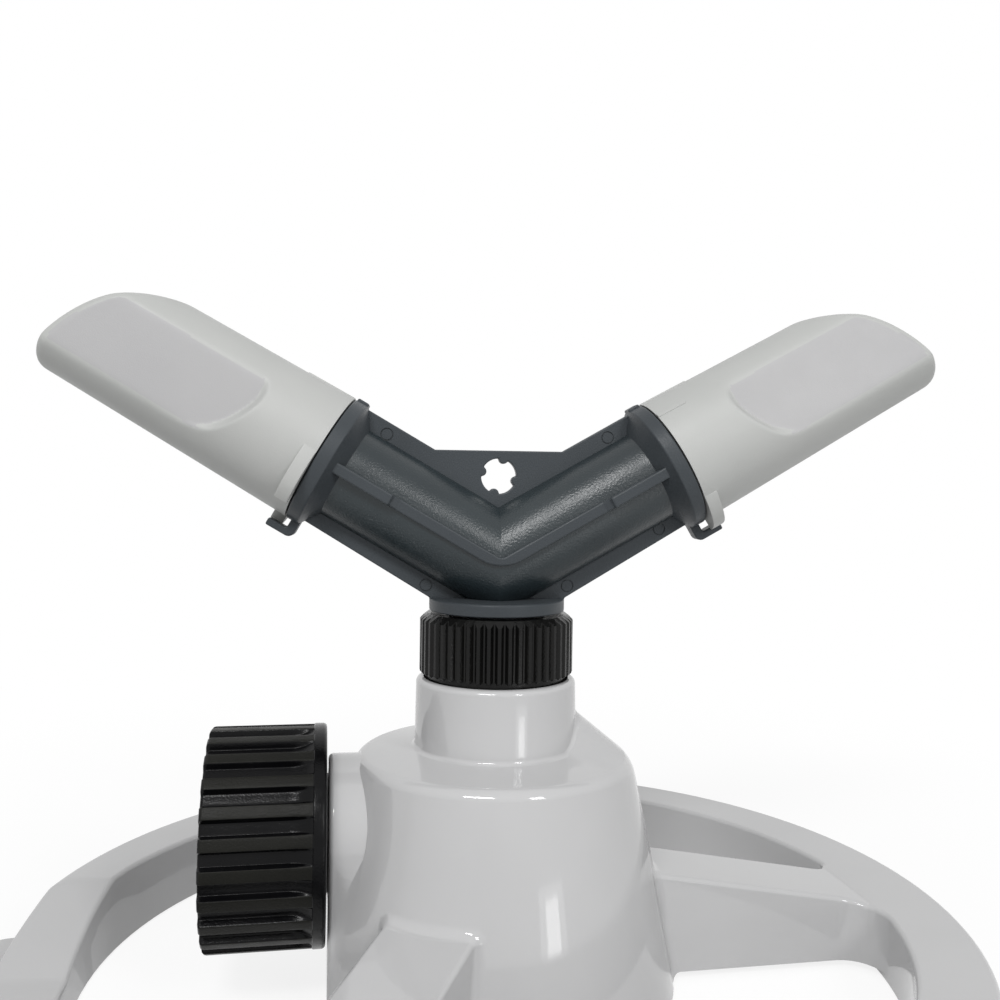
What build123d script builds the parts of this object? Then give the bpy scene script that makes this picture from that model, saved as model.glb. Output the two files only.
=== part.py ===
from build123d import *
import os
from math import asin, cos, degrees, hypot, radians, sin, tan

os.makedirs("parts", exist_ok=True)

# Two-arm rotary lawn sprinkler, in millimetres. The rotor turns about Z, the hose comes in along X from
# the -X side, and the underside of the hub and of the ring foot lie at Z = 0.

# Ring foot
ring_outer_r = 74.7
ring_inner_r = 63.8
ring_top = 10.7
ring_edge_round = 1.2
moulding_wall = 2.4

# Dip of the ring under the hose, and the thin lip that runs out of it
dip_floor = 2.0
dip_floor_half_width = 4.5
dip_ramp_half_width = 21.0
lip_reach = 9.3
lip_corner_r = 6.0

# Spokes
spoke_count = 3
spoke_width = 14.0
spoke_hub_top = 18.0
spoke_large_corner_r = 9.0
spoke_small_corner_r = 3.0

# Hub, shoulder and neck
hub_foot_r = 29.3
shoulder_r = 22.3
shoulder_z = 35.6
shoulder_round = 2.0
shoulder_rise = 1.6
neck_foot_r = 13.0
neck_top_r = 12.87
neck_height = 11.1
neck_foot_round = 0.8
neck_edge_round = 0.9
neck_bore_r = 11.7

# Rib behind the neck, over the spoke that lies opposite the inlet
back_rib_width = 13.0
back_rib_rise = 4.4
back_rib_proud = 0.6
back_rib_knee_drop = 1.2
back_rib_knee_round = 3.5
back_rib_round = 2.5

# Inlet housing, an arch on the -X side of the hub
inlet_axis_z = 24.0
housing_half_width = 11.8
housing_face_x = 26.2
housing_edge_round = 0.8

# Hub cover and its screws
cover_thickness = 3.0
cover_gap = 0.3
cover_pillar_r = 8.0
screw_circle_r = 22.8
screw_count = 3
screw_first_angle = 0.0
screw_shank_r = 1.5
screw_head_r = 2.7
screw_head_height = 1.5
screw_head_recess = 0.3
screw_boss_r = 3.3
screw_boss_height = 8.5
screw_length = 9.0
screw_gap = 0.1
screw_slot_width = 0.9
screw_slot_depth = 0.7

# Water elbow inside the hub
elbow_body_r = 10.8
elbow_bore_r = 6.0
elbow_flange_r = 16.0
elbow_flange_thickness = 2.6
elbow_spigot_gap = 0.2
elbow_leg_r = 9.6
elbow_leg_gap = 0.2
thread_r = 9.5
thread_gap = 0.1

# Inlet spud, nut, washer and strainer
spud_shank_r = 7.4
spud_shank_length = 13.0
spud_bore_r = 5.4
spud_shank_gap = 0.05
spud_journal_r = 9.0
spud_flange_thickness = 2.2
spud_flange_gap = 0.2
seal_section_r = 0.9
nut_outer_r = 16.75
nut_root_r = 15.95
nut_length = 17.9
nut_face_gap = 0.8
nut_end_wall = 3.2
nut_thread_r = 12.3
nut_relief_r = 12.7
nut_rib_count = 24
nut_rib_angle = 8.5
nut_band_width = 2.0
nut_band_proud = 0.35
nut_edge_round = 0.6
running_gap = 0.05
axial_gap = 0.3
washer_thickness = 3.0
washer_gap = 0.3
washer_hole_r = 7.6
filter_rim_thickness = 0.8
filter_depth = 2.4
filter_hole_r = 0.6
filter_hole_pitch = 1.9

# Knurled bearing collar
collar_gap = 0.7
knurl_r = 12.35
knurl_depth = 0.6
knurl_count = 48
knurl_height = 8.6
collar_chamfer = 1.0
collar_skirt_r = 11.3
collar_skirt_depth = 3.4
collar_lip = 2.6
gasket_thickness = 1.1

# Rotor bearing inside the collar
spindle_r = 7.7
spindle_bore_r = 5.0
bush_wall = 1.2
bush_gap = 0.02
bearing_washer_thickness = 1.0
bearing_washer_gap = 0.3
bearing_washer_hole_r = 6.2
bearing_play = 0.1
spindle_seal_thickness = 1.7
clip_thickness = 0.8
clip_depth = 0.8
clip_outer_r = 9.1
clip_gap = 0.05
clip_opening = 70.0
spindle_end_land = 0.6

# Rotor arm
rotor_rest_turn = -5.2
rotor_gap = 0.4
rotor_flange_r = 10.9
rotor_flange_thickness = 2.0
rotor_boss_r = 9.2
rotor_boss_height = 1.6
arm_rise = 5.75
arm_angle = 30.0
tube_r = 7.7
tube_bore_r = 5.2
arm_reach = 32.6
arm_flange_r = 10.9
arm_flange_thickness = 2.4
plate_thickness = 2.0
plate_above = 2.7
plate_below = 2.2
web_top_z = 84.7
web_hole_r = 2.85
web_hole_drop = 4.1
web_nub_r = 0.75
rib_width = 1.8
rib_proud = 1.7
rib_low_proud = 0.7
rib_step_start = 14.0
rim_block_width = 3.2
rim_block_proud = 0.3
finger_width = 3.0
finger_inner_gap = 0.7
finger_thickness = 1.2
finger_reach = 2.3
finger_web = 1.5
finger_corner_r = 1.1

# Arm end spigot that carries a nozzle cap
spigot_land_r = 8.8
spigot_land_length = 3.0
spigot_r = 8.0
spigot_length = 9.0
spigot_bead_proud = 0.65
spigot_bead_length = 1.2
groove_start = 4.0
groove_width = 2.1
cap_face_gap = 0.15
snap_gap = 0.2

# Nozzle cap
cap_base_r = 10.8
cap_taper = 1.3
cap_length = 44.4
cap_wall = 1.8
cap_socket_gap = 0.5
cap_snap_height = 0.6
cap_snap_width = 1.0
nose_r = 27.8
nose_drop = 13.0
nose_crest_round = 7.0
flat_distance = 8.9
flat_lean = 8.3
flat_start = 11.4
flat_tongue_top = 5.5
flat_tongue_foot = 2.5
flat_high_angle = 55.0
flat_low_angle = 45.0
flat_tongue_round = 3.0
lug_proud = 1.9
lug_width = 2.2
lug_span = 46.0
cap_travel = 40.0
stop_gap_angle = 0.8
ridge_width = 1.0
crest_ridge_length = 8.5
side_ridge_length = 5.0
ridge_proud = 0.3
ridge_spread = 40.0
jet_count = 6
jet_r = 0.7
jet_first_angle = 25.0
jet_last_angle = 75.0

# Heights and places that follow from the sizes above
hub_slope = (hub_foot_r - shoulder_r) / shoulder_z
neck_foot_z = shoulder_z + shoulder_rise
neck_top_z = neck_foot_z + neck_height
cavity_top_z = shoulder_z - moulding_wall
cavity_face_x = housing_face_x - moulding_wall
cover_r = hub_foot_r - moulding_wall - hub_slope * cover_thickness - cover_gap
elbow_foot_z = inlet_axis_z - elbow_body_r
knurl_foot_z = neck_top_z + collar_gap
collar_top_z = knurl_foot_z + knurl_height + collar_chamfer
collar_foot_z = knurl_foot_z - collar_skirt_depth
lip_under_z = collar_top_z - collar_lip
elbow_seat_z = collar_foot_z - gasket_thickness
bush_r = spindle_r + running_gap + bush_wall
bearing_bore_r = thread_r + thread_gap
upper_washer_z = lip_under_z - running_gap - bearing_washer_thickness
clip_z = upper_washer_z - bearing_play - clip_thickness
spindle_foot_z = clip_z - spindle_end_land
lower_washer_z = spindle_foot_z - bearing_play - bearing_washer_thickness
elbow_top_z = lower_washer_z - spindle_seal_thickness
rotor_flange_z = collar_top_z + rotor_gap
rotor_flange_top_z = rotor_flange_z + rotor_flange_thickness
arm_centre_z = rotor_flange_top_z + arm_rise
nut_foot_x = housing_face_x + nut_face_gap
spud_flange_x = nut_foot_x + nut_end_wall + axial_gap
spud_end_x = spud_flange_x + spud_flange_thickness
thread_start_x = spud_end_x + washer_thickness
elbow_leg_end = housing_face_x + nut_face_gap / 2
spud_flange_r = nut_thread_r - spud_flange_gap
socket_r = spigot_land_r + running_gap
cap_tan = tan(radians(cap_taper))


def ring(outer_r, inner_r, low, high):
    """Flat ring about Z between two heights."""
    body = Pos(0, 0, (low + high) / 2) * Cylinder(outer_r, high - low)
    return body - Pos(0, 0, (low + high) / 2) * Cylinder(inner_r, 2 * (high - low))


def disc(radius, low, high):
    """Round bar about Z between two heights."""
    return Pos(0, 0, (low + high) / 2) * Cylinder(radius, high - low)


def turned(points):
    """Solid of revolution about Z from a closed outline of (radius, height) points."""
    outline = Plane.XZ * make_face(Polyline(*points, close=True))
    return revolve(outline, Axis.Z)


def around(count, first, shape):
    """Copies of a shape spread evenly round Z."""
    return [Rot(0, 0, first + i * 360 / count) * shape for i in range(count)]


def on_inlet(shape):
    """Turn a shape built on Z so that its Z runs out along the inlet, towards -X."""
    return Pos(0, 0, inlet_axis_z) * Rot(0, -90, 0) * shape


def on_right_arm(shape):
    """Turn a shape built on Z so that its Z runs out along the right arm and its X points up."""
    place = Plane(
        origin=(0, 0, arm_centre_z),
        x_dir=(-sin(radians(arm_angle)), 0, cos(radians(arm_angle))),
        z_dir=(cos(radians(arm_angle)), 0, sin(radians(arm_angle))),
    )
    return place.location * shape


def on_arm(side, shape):
    """Place a shape on the right or the left arm, which are half a turn apart."""
    half_turn = 0 if side == "right" else 180
    return Rot(0, 0, rotor_rest_turn + half_turn) * on_right_arm(shape)


# Base moulding


def foot_plan():
    """Ring and spokes seen from above, with the spoke corners rounded where they meet the ring."""
    plan = Circle(ring_outer_r) - Circle(ring_inner_r)
    spoke_end = (ring_outer_r + ring_inner_r) / 2
    spoke = Pos(spoke_end / 2, 0) * Rectangle(spoke_end, spoke_width)
    for angle in range(0, 360, 360 // spoke_count):
        plan += Rot(0, 0, angle) * spoke
    corner_x = (ring_inner_r**2 - (spoke_width / 2) ** 2) ** 0.5
    for side, radius in ((-1, spoke_large_corner_r), (1, spoke_small_corner_r)):
        for angle in range(0, 360, 360 // spoke_count):
            corner = Vector(corner_x, side * spoke_width / 2).rotate(Axis.Z, angle)
            nearest = min(plan.vertices(), key=lambda v: (Vector(v.X, v.Y) - corner).length)
            plan = fillet(nearest, radius)
    return plan


def foot_envelope(lowered):
    """Turned shape under the top of ring and spokes, lowered all over by the same amount."""
    hub_edge_r = hub_foot_r - hub_slope * spoke_hub_top
    points = [
        (0, 0),
        (ring_outer_r, 0),
        (ring_outer_r, ring_top - lowered - ring_edge_round),
        (ring_outer_r - ring_edge_round, ring_top - lowered),
        (ring_inner_r - ring_edge_round, ring_top - lowered),
        (hub_edge_r, spoke_hub_top - lowered),
        (0, spoke_hub_top - lowered),
    ]
    return turned(points)


def foot_hollow():
    """Channel under ring and spokes, open below, left out under the dip."""
    plan = Circle(ring_outer_r - moulding_wall) - Circle(ring_inner_r + moulding_wall)
    spoke_start = hub_foot_r
    spoke_end = (ring_outer_r + ring_inner_r) / 2
    hollow_width = spoke_width - 2 * moulding_wall
    spoke = Pos((spoke_start + spoke_end) / 2, 0) * Rectangle(spoke_end - spoke_start, hollow_width)
    for angle in range(0, 360, 360 // spoke_count):
        plan += Rot(0, 0, angle) * spoke
    hollow = extrude(plan, spoke_hub_top) & foot_envelope(moulding_wall)
    dip_length = 2 * (ring_outer_r - ring_inner_r) + lip_reach
    dip_block = Box(2 * dip_length, 2 * (dip_ramp_half_width + moulding_wall), 4 * ring_top)
    return hollow - Pos(-ring_outer_r, 0, 0) * dip_block


def dip_cut():
    """Valley that is cut across the ring where the hose passes over it."""
    outline = Polyline(
        (-dip_floor_half_width, dip_floor),
        (dip_floor_half_width, dip_floor),
        (dip_ramp_half_width, ring_top),
        (dip_ramp_half_width, ring_top + spoke_hub_top),
        (-dip_ramp_half_width, ring_top + spoke_hub_top),
        (-dip_ramp_half_width, ring_top),
        close=True,
    )
    length = 2 * (ring_outer_r - ring_inner_r)
    start = -ring_inner_r + ring_outer_r - ring_inner_r
    return extrude(Plane.YZ.offset(start) * make_face(outline), -2 * length)


def dip_lip():
    """Thin lip at the foot of the dip, which carries the hose outside the ring."""
    middle_r = (ring_outer_r + ring_inner_r) / 2
    reach = ring_outer_r + lip_reach - middle_r
    plan = Pos(-middle_r - reach / 2, 0) * Rectangle(reach, 2 * dip_ramp_half_width)
    outer = plan.vertices().group_by(Axis.X)[0]
    return extrude(fillet(outer, lip_corner_r), dip_floor)


def hub_body():
    """Cone, shoulder and neck as one turned shape."""
    points = [
        (0, 0),
        (hub_foot_r, 0),
        (shoulder_r, shoulder_z),
        (neck_foot_r, neck_foot_z),
        (neck_top_r, neck_top_z),
        (0, neck_top_z),
    ]
    outline = make_face(Polyline(*points, close=True))
    for index, radius in ((2, shoulder_round), (3, neck_foot_round), (4, neck_edge_round)):
        point = Vector(*points[index])
        corner = min(outline.vertices(), key=lambda v: (Vector(v.X, v.Y) - point).length)
        outline = fillet(corner, radius)
    return revolve(Plane.XZ * outline, Axis.Z)


def back_rib():
    """Rounded rib that leans from the neck over the shoulder and down the cone."""
    foot_r = hub_foot_r - hub_slope * spoke_hub_top + back_rib_proud
    knee = (shoulder_r + back_rib_proud, shoulder_z - back_rib_knee_drop)
    outline = make_face(
        Polyline(
            (0, 0),
            (foot_r, 0),
            (foot_r, spoke_hub_top),
            knee,
            (neck_foot_r, neck_foot_z + back_rib_rise),
            (0, neck_foot_z + back_rib_rise),
            close=True,
        )
    )
    corner = min(outline.vertices(), key=lambda v: (Vector(v.X, v.Y) - Vector(*knee)).length)
    outline = fillet(corner, back_rib_knee_round)
    rib = extrude(Plane.XZ * outline, back_rib_width / 2, both=True)
    sides = rib.edges().filter_by(Axis.Y, reverse=True)
    high = [edge for edge in sides if edge.center().X > neck_top_r and edge.center().Z > spoke_hub_top]
    return fillet(high, back_rib_round)


def housing_body():
    """Arch round the inlet, from its outer face to inside the hub."""
    arch = Pos(0, inlet_axis_z / 2) * Rectangle(2 * housing_half_width, inlet_axis_z)
    arch += Pos(0, inlet_axis_z) * Circle(housing_half_width)
    body = extrude(Plane.YZ.offset(-housing_face_x) * arch, housing_face_x)
    face_edges = body.edges().group_by(Axis.X)[0].filter_by(lambda e: e.center().Z > ring_edge_round)
    return fillet(face_edges, housing_edge_round)


def screw_places(shape):
    """A shape repeated at each cover screw."""
    return around(screw_count, screw_first_angle, Pos(screw_circle_r, 0, 0) * shape)


def inlet_side_trim(face_x):
    """Block beyond a flat face on the inlet side, where the nut turns."""
    size = 2 * neck_top_z
    return Pos(-face_x - size / 2, 0, 0) * Box(size, 2 * size, 2 * size)


def base_moulding():
    body = hub_body() - inlet_side_trim(housing_face_x) + back_rib() + housing_body()
    foot = (extrude(foot_plan(), spoke_hub_top) & foot_envelope(0)) - foot_hollow()
    body += foot - dip_cut()
    body += dip_lip()
    cavity = turned(
        [
            (0, 0),
            (hub_foot_r - moulding_wall, 0),
            (hub_foot_r - moulding_wall - hub_slope * cavity_top_z, cavity_top_z),
            (0, cavity_top_z),
        ]
    )
    body -= cavity - inlet_side_trim(cavity_face_x)
    body -= disc(neck_bore_r, cavity_top_z, neck_top_z)
    body -= on_inlet(disc(elbow_leg_r + elbow_leg_gap, elbow_body_r, housing_face_x))
    boss = disc(screw_boss_r, cover_thickness, cover_thickness + screw_boss_height)
    boss -= disc(screw_shank_r + screw_gap, cover_thickness, cover_thickness + screw_boss_height)
    for copy in screw_places(boss):
        body += copy & turned(
            [
                (0, 0),
                (hub_foot_r - moulding_wall / 2, 0),
                (hub_foot_r - moulding_wall / 2 - hub_slope * cavity_top_z, cavity_top_z),
                (0, cavity_top_z),
            ]
        )
    return body


# Hub cover, screws and water elbow


def hub_cover():
    body = disc(cover_r, 0, cover_thickness) - inlet_side_trim(cavity_face_x - cover_gap)
    body += disc(cover_pillar_r, 0, elbow_foot_z)
    seat = disc(screw_head_r + screw_gap, 0, screw_head_height)
    hole = disc(screw_shank_r + screw_gap, 0, cover_thickness)
    for copy in screw_places(seat + hole):
        body -= copy
    return body


def cover_screws():
    screw = disc(screw_head_r, screw_head_recess, screw_head_height)
    screw += disc(screw_shank_r, screw_head_height, screw_head_height + screw_length)
    slot = Box(2 * screw_head_r, screw_slot_width, 2 * screw_slot_depth)
    screw -= Pos(0, 0, screw_head_recess) * slot
    screw -= Pos(0, 0, screw_head_recess) * Rot(0, 0, 90) * slot
    return screw_places(screw)


def water_elbow():
    body = disc(elbow_body_r, elbow_foot_z, cavity_top_z)
    body += disc(elbow_flange_r, cavity_top_z - elbow_flange_thickness, cavity_top_z)
    body += disc(neck_bore_r - elbow_spigot_gap, cavity_top_z, elbow_seat_z)
    body += disc(thread_r, elbow_seat_z, elbow_top_z)
    body += on_inlet(disc(elbow_leg_r, 0, elbow_leg_end))
    body -= disc(elbow_bore_r, inlet_axis_z - elbow_bore_r, elbow_top_z)
    body -= on_inlet(disc(elbow_bore_r, 0, elbow_leg_end))
    socket_length = spud_shank_length + spud_shank_gap
    body -= on_inlet(disc(spud_shank_r + spud_shank_gap, elbow_leg_end - socket_length, elbow_leg_end))
    return body


# Inlet: spud, seals, swivel nut, washer and strainer


def spud_groove():
    groove_x = elbow_leg_end - spud_shank_length / 2
    return groove_x - seal_section_r, groove_x + seal_section_r


def inlet_spud():
    low, high = spud_groove()
    body = disc(spud_shank_r, elbow_leg_end - spud_shank_length, elbow_leg_end)
    body += disc(spud_journal_r, elbow_leg_end, spud_flange_x)
    body += disc(spud_flange_r, spud_flange_x, spud_end_x)
    body -= disc(spud_bore_r, 0, spud_end_x)
    body -= ring(spud_shank_r, spud_shank_r - seal_section_r, low, high)
    return on_inlet(body)


def spud_seal():
    low, high = spud_groove()
    return on_inlet(ring(spud_shank_r, spud_shank_r - seal_section_r, low, high))


def swivel_nut():
    end_x = nut_foot_x + nut_length
    rib_half = radians(nut_rib_angle / 2)
    rib_width = 2 * nut_outer_r * sin(rib_half)
    section = Circle(nut_root_r)
    for i in range(nut_rib_count):
        rib = Pos(nut_outer_r / 2, 0) * Rectangle(nut_outer_r, rib_width)
        section += Rot(0, 0, i * 360 / nut_rib_count) * rib
    section &= Circle(nut_outer_r)
    body = extrude(Pos(0, 0, nut_foot_x) * section, nut_length)
    rounded = turned(
        [
            (0, nut_foot_x),
            (nut_outer_r, nut_foot_x),
            (nut_outer_r, end_x - nut_edge_round),
            (nut_outer_r - nut_edge_round, end_x),
            (0, end_x),
        ]
    )
    body &= rounded
    band_r = nut_outer_r + nut_band_proud
    body += turned(
        [
            (0, nut_foot_x),
            (band_r - nut_edge_round, nut_foot_x),
            (band_r, nut_foot_x + nut_edge_round),
            (band_r, nut_foot_x + nut_band_width),
            (0, nut_foot_x + nut_band_width),
        ]
    )
    body -= disc(spud_journal_r + running_gap, nut_foot_x, end_x)
    body -= disc(nut_relief_r, nut_foot_x + nut_end_wall, thread_start_x)
    body -= disc(nut_thread_r, thread_start_x, end_x)
    return on_inlet(body)


def hose_washer():
    outer_r = nut_thread_r - washer_gap
    return on_inlet(ring(outer_r, washer_hole_r, spud_end_x, thread_start_x))


def inlet_filter():
    """Shallow strainer cup in the mouth of the spud, with a square grid of holes in its floor."""
    outer_r = washer_hole_r - washer_gap
    body = disc(outer_r, spud_end_x, spud_end_x + filter_rim_thickness)
    body += disc(spud_bore_r - washer_gap, spud_end_x - filter_depth, spud_end_x)
    cup_r = spud_bore_r - washer_gap - filter_rim_thickness
    floor_x = spud_end_x - filter_depth + filter_rim_thickness
    body -= disc(cup_r, floor_x, spud_end_x + filter_rim_thickness)
    steps = int(cup_r / filter_hole_pitch)
    for i in range(-steps, steps + 1):
        for j in range(-steps, steps + 1):
            x, y = i * filter_hole_pitch, j * filter_hole_pitch
            if hypot(x, y) + filter_hole_r < cup_r:
                body -= Pos(x, y, 0) * disc(filter_hole_r, floor_x - 2 * filter_rim_thickness, floor_x)
    return on_inlet(body)


# Rotor bearing


def bearing_collar():
    points = []
    for i in range(knurl_count):
        for radius, share in ((knurl_r, 0), (knurl_r - knurl_depth, 0.5)):
            angle = radians((i + share) * 360 / knurl_count)
            points.append((radius * cos(angle), radius * sin(angle)))
    section = make_face(Polyline(*points, close=True))
    body = extrude(Pos(0, 0, knurl_foot_z) * section, collar_top_z - knurl_foot_z)
    body &= turned(
        [
            (0, knurl_foot_z),
            (knurl_r - knurl_depth, knurl_foot_z),
            (knurl_r, knurl_foot_z + knurl_depth),
            (knurl_r, collar_top_z - collar_chamfer),
            (knurl_r - collar_chamfer, collar_top_z),
            (0, collar_top_z),
        ]
    )
    body += disc(collar_skirt_r, collar_foot_z, knurl_foot_z)
    body -= disc(bearing_bore_r, collar_foot_z, lip_under_z)
    body -= disc(bush_r + bush_gap, lip_under_z, collar_top_z)
    return body


def bearing_bush():
    return ring(bush_r, spindle_r + running_gap, lip_under_z, collar_top_z)


def collar_gasket():
    return ring(collar_skirt_r, thread_r + thread_gap, elbow_seat_z, collar_foot_z)


def bearing_washer(low, hole_r):
    return ring(thread_r + thread_gap - bearing_washer_gap, hole_r, low, low + bearing_washer_thickness)


def upper_thrust_washer():
    return bearing_washer(upper_washer_z, spindle_r + bearing_washer_gap)


def lower_thrust_washer():
    return bearing_washer(lower_washer_z, bearing_washer_hole_r)


def spindle_seal():
    outer_r = thread_r + thread_gap - bearing_washer_gap
    return ring(outer_r, bearing_washer_hole_r, elbow_top_z, lower_washer_z)


def retaining_clip():
    """Open clip in the groove of the spindle."""
    inner_r = spindle_r - clip_depth + clip_gap
    clip = ring(clip_outer_r, inner_r, clip_z, clip_z + clip_thickness)
    reach = 2 * clip_outer_r
    half = reach * tan(radians(clip_opening / 2))
    wedge = make_face(Polyline((0, 0), (reach, -half), (reach, half), close=True))
    return clip - extrude(Pos(0, 0, clip_z) * wedge, clip_thickness)


# Rotor arm


def half_space_right():
    """Block on the right of the mitre plane of the two tubes."""
    size = 3 * arm_reach
    return Pos(size / 2, 0, arm_centre_z) * Box(size, size, size)


def arm_rib(low_end):
    """Ribs along the front and back of a tube: low near the middle, higher out to the flange."""
    flange_z = arm_reach - arm_flange_thickness
    low_depth = tube_r + rib_low_proud
    high_depth = tube_r + rib_proud
    low_length = flange_z + low_end
    low = Pos(0, 0, flange_z - low_length / 2) * Box(rib_width, 2 * low_depth, low_length)
    high_length = flange_z - rib_step_start
    high = Pos(0, 0, flange_z - high_length / 2) * Box(rib_width, 2 * high_depth, high_length)
    return low + high


def arm_end():
    """Flange with its rim block and stop finger, and the spigot that carries the cap."""
    flange_z = arm_reach - arm_flange_thickness
    body = disc(arm_flange_r, flange_z, arm_reach)
    block_height = arm_flange_r + rim_block_proud
    body += Pos(block_height / 2, 0, flange_z + arm_flange_thickness / 2) * Box(
        block_height, rim_block_width, arm_flange_thickness
    )
    finger_inner = cap_base_r + lug_proud - finger_thickness + finger_inner_gap
    finger_outer = finger_inner + finger_thickness
    finger_length = arm_flange_thickness + finger_reach
    hook = Box(finger_outer, finger_width, finger_length)
    hook = Pos(-finger_outer / 2, 0, flange_z + finger_length / 2) * hook
    corner = hook.edges().filter_by(Axis.Y).group_by(Axis.X)[0].sort_by(Axis.Z)[0]
    hook = fillet(corner, finger_corner_r)
    notch_length = finger_length - finger_web
    notch = Box(finger_inner, finger_width, notch_length)
    hook -= Pos(-finger_inner / 2, 0, flange_z + finger_web + notch_length / 2) * notch
    body += hook
    body += disc(spigot_land_r, arm_reach, arm_reach + spigot_land_length)
    body += disc(spigot_r, arm_reach, arm_reach + spigot_length)
    bead_top = arm_reach + spigot_length
    body += disc(spigot_r + spigot_bead_proud, bead_top - spigot_bead_length, bead_top)
    groove_low = arm_reach + groove_start
    groove_r = socket_r - running_gap - 2 * seal_section_r
    body -= ring(2 * spigot_r, groove_r, groove_low, groove_low + groove_width)
    return body


def centre_plate():
    """Flat plate in the plane of the two tubes, with the hanging hole above their crease."""
    a = radians(arm_angle)
    flange_s = arm_reach - arm_flange_thickness

    def on_arm_plane(along, above):
        x = along * cos(a) - above * sin(a)
        z = arm_centre_z + along * sin(a) + above * cos(a)
        return x, z

    top_above = tube_r + plate_above
    web_along = (web_top_z - arm_centre_z - top_above * cos(a)) / sin(a)
    right = [
        (rotor_flange_r, rotor_flange_top_z),
        on_arm_plane(flange_s, -tube_r - plate_below),
        on_arm_plane(flange_s, top_above),
        on_arm_plane(web_along, top_above),
    ]
    left = [(-x, z) for x, z in reversed(right)]
    foot = [(-rotor_flange_r, rotor_flange_z), (rotor_flange_r, rotor_flange_z)]
    outline = make_face(Polyline(*right, *left, *foot, close=True))
    hole_z = web_top_z - web_hole_drop
    hole = Pos(0, hole_z) * Circle(web_hole_r)
    for i in range(4):
        angle = radians(i * 90)
        hole -= Pos(web_hole_r * cos(angle), hole_z + web_hole_r * sin(angle)) * Circle(web_nub_r)
    return extrude(Plane.XZ * (outline - hole), plate_thickness / 2, both=True)


def rotor_arm():
    tube_length = 2 * arm_reach
    tube = disc(tube_r, -tube_length, arm_reach - arm_flange_thickness) + arm_rib(tube_r)
    right = on_right_arm(tube) & half_space_right()
    right += on_right_arm(arm_end())
    body = right + Rot(0, 0, 180) * right
    body += centre_plate()
    body += disc(rotor_flange_r, rotor_flange_z, rotor_flange_top_z)
    body += disc(rotor_boss_r, rotor_flange_z, rotor_flange_top_z + rotor_boss_height)
    below = disc(2 * rotor_flange_r, rotor_flange_z - 2 * tube_r, rotor_flange_z)
    body -= below
    body += disc(spindle_r, spindle_foot_z, rotor_flange_z)
    body -= ring(2 * spindle_r, spindle_r - clip_depth, clip_z, clip_z + clip_thickness)
    body -= disc(spindle_bore_r, spindle_foot_z, arm_centre_z)
    bore = on_right_arm(disc(tube_bore_r, 0, arm_reach + spigot_length))
    body -= bore
    body -= Rot(0, 0, 180) * bore
    return Rot(0, 0, rotor_rest_turn) * body


def cap_seal(side):
    middle = arm_reach + groove_start + groove_width / 2
    major_r = socket_r - running_gap - seal_section_r
    return on_arm(side, Pos(0, 0, middle) * Torus(major_r, seal_section_r))


# Nozzle cap, built with its base at Z = 0, its axis along Z and its upper side towards X


def nose_profile(inset):
    """Side view of the snout, moved in by a wall: flat top, rounded crest and the long arc of the nose."""
    nose_z = cap_length - nose_r
    radius = nose_r - inset
    diagonal = radius * sin(radians(45))
    sides = Polyline(
        (nose_z, radius - nose_drop),
        (0, radius - nose_drop),
        (0, -2 * cap_base_r),
        (cap_length - inset, -2 * cap_base_r),
        (cap_length - inset, -nose_drop),
    )
    nose_arc = ThreePointArc(
        (cap_length - inset, -nose_drop),
        (nose_z + diagonal, diagonal - nose_drop),
        (nose_z, radius - nose_drop),
    )
    top = cap_base_r - inset - nose_z * cap_tan
    profile = make_face([sides, nose_arc]) - Pos(0, top + nose_r) * Rectangle(4 * cap_length, 2 * nose_r)
    crest = profile.vertices().group_by(Axis.Y)[-1].sort_by(Axis.X)[-1]
    return fillet(crest, nose_crest_round)


def snout(inset):
    """Tapered round body with an arched nose and leaning side flats, moved in by a wall."""
    tip_r = cap_base_r - cap_length * cap_tan
    body = turned([(0, 0), (cap_base_r - inset, 0), (tip_r - inset, cap_length), (0, cap_length)])
    side_view = Plane(origin=(0, 0, 0), x_dir=(0, 0, 1), z_dir=(0, 1, 0))
    body &= extrude(side_view * nose_profile(inset), 2 * cap_base_r, both=True)
    for side in (-1, 1):
        body -= flat_cutter(side, inset)
    return body


def flat_cutter(side, inset):
    """Block outside one side flat, whose end towards the base is a blunt tongue."""
    depth = 2 * cap_base_r
    start = flat_start - inset
    high_s = start + (depth - flat_tongue_top) * tan(radians(flat_high_angle))
    low_s = start + (depth + flat_tongue_foot) * tan(radians(flat_low_angle))
    far_s = 2 * cap_length
    outline = make_face(
        Polyline(
            (depth, high_s),
            (flat_tongue_top, start),
            (flat_tongue_foot, start),
            (-depth, low_s),
            (-depth, far_s),
            (depth, far_s),
            close=True,
        )
    )
    outline = fillet(outline.vertices().group_by(Axis.Y)[0], flat_tongue_round)
    tongue = Plane(origin=(0, flat_distance - inset, 0), x_dir=(1, 0, 0), z_dir=(0, -1, 0))
    block = Rot(0, 0, -flat_lean) * Rot(cap_taper, 0, 0) * extrude(tongue * outline, -depth)
    return block if side > 0 else mirror(block, Plane.XZ)


def cap_lugs():
    """Two wedge lugs that face the stop finger from its front and its back."""
    finger_half = degrees(asin(finger_width / 2 / cap_base_r))
    near = finger_half + stop_gap_angle
    far = finger_half + stop_gap_angle + cap_travel
    lugs = []
    for direction, start in ((1, near), (-1, far)):
        crest = []
        for share in (0, 0.5, 1):
            angle = radians(start + share * lug_span)
            radius = cap_base_r + (1 - share) * lug_proud
            crest.append((-radius * cos(angle), direction * radius * sin(angle)))
        wedge = make_face([ThreePointArc(*crest), Polyline(crest[2], (0, 0), crest[0])])
        lugs.append(extrude(Pos(0, 0, cap_face_gap) * wedge, lug_width))
    return lugs


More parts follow.
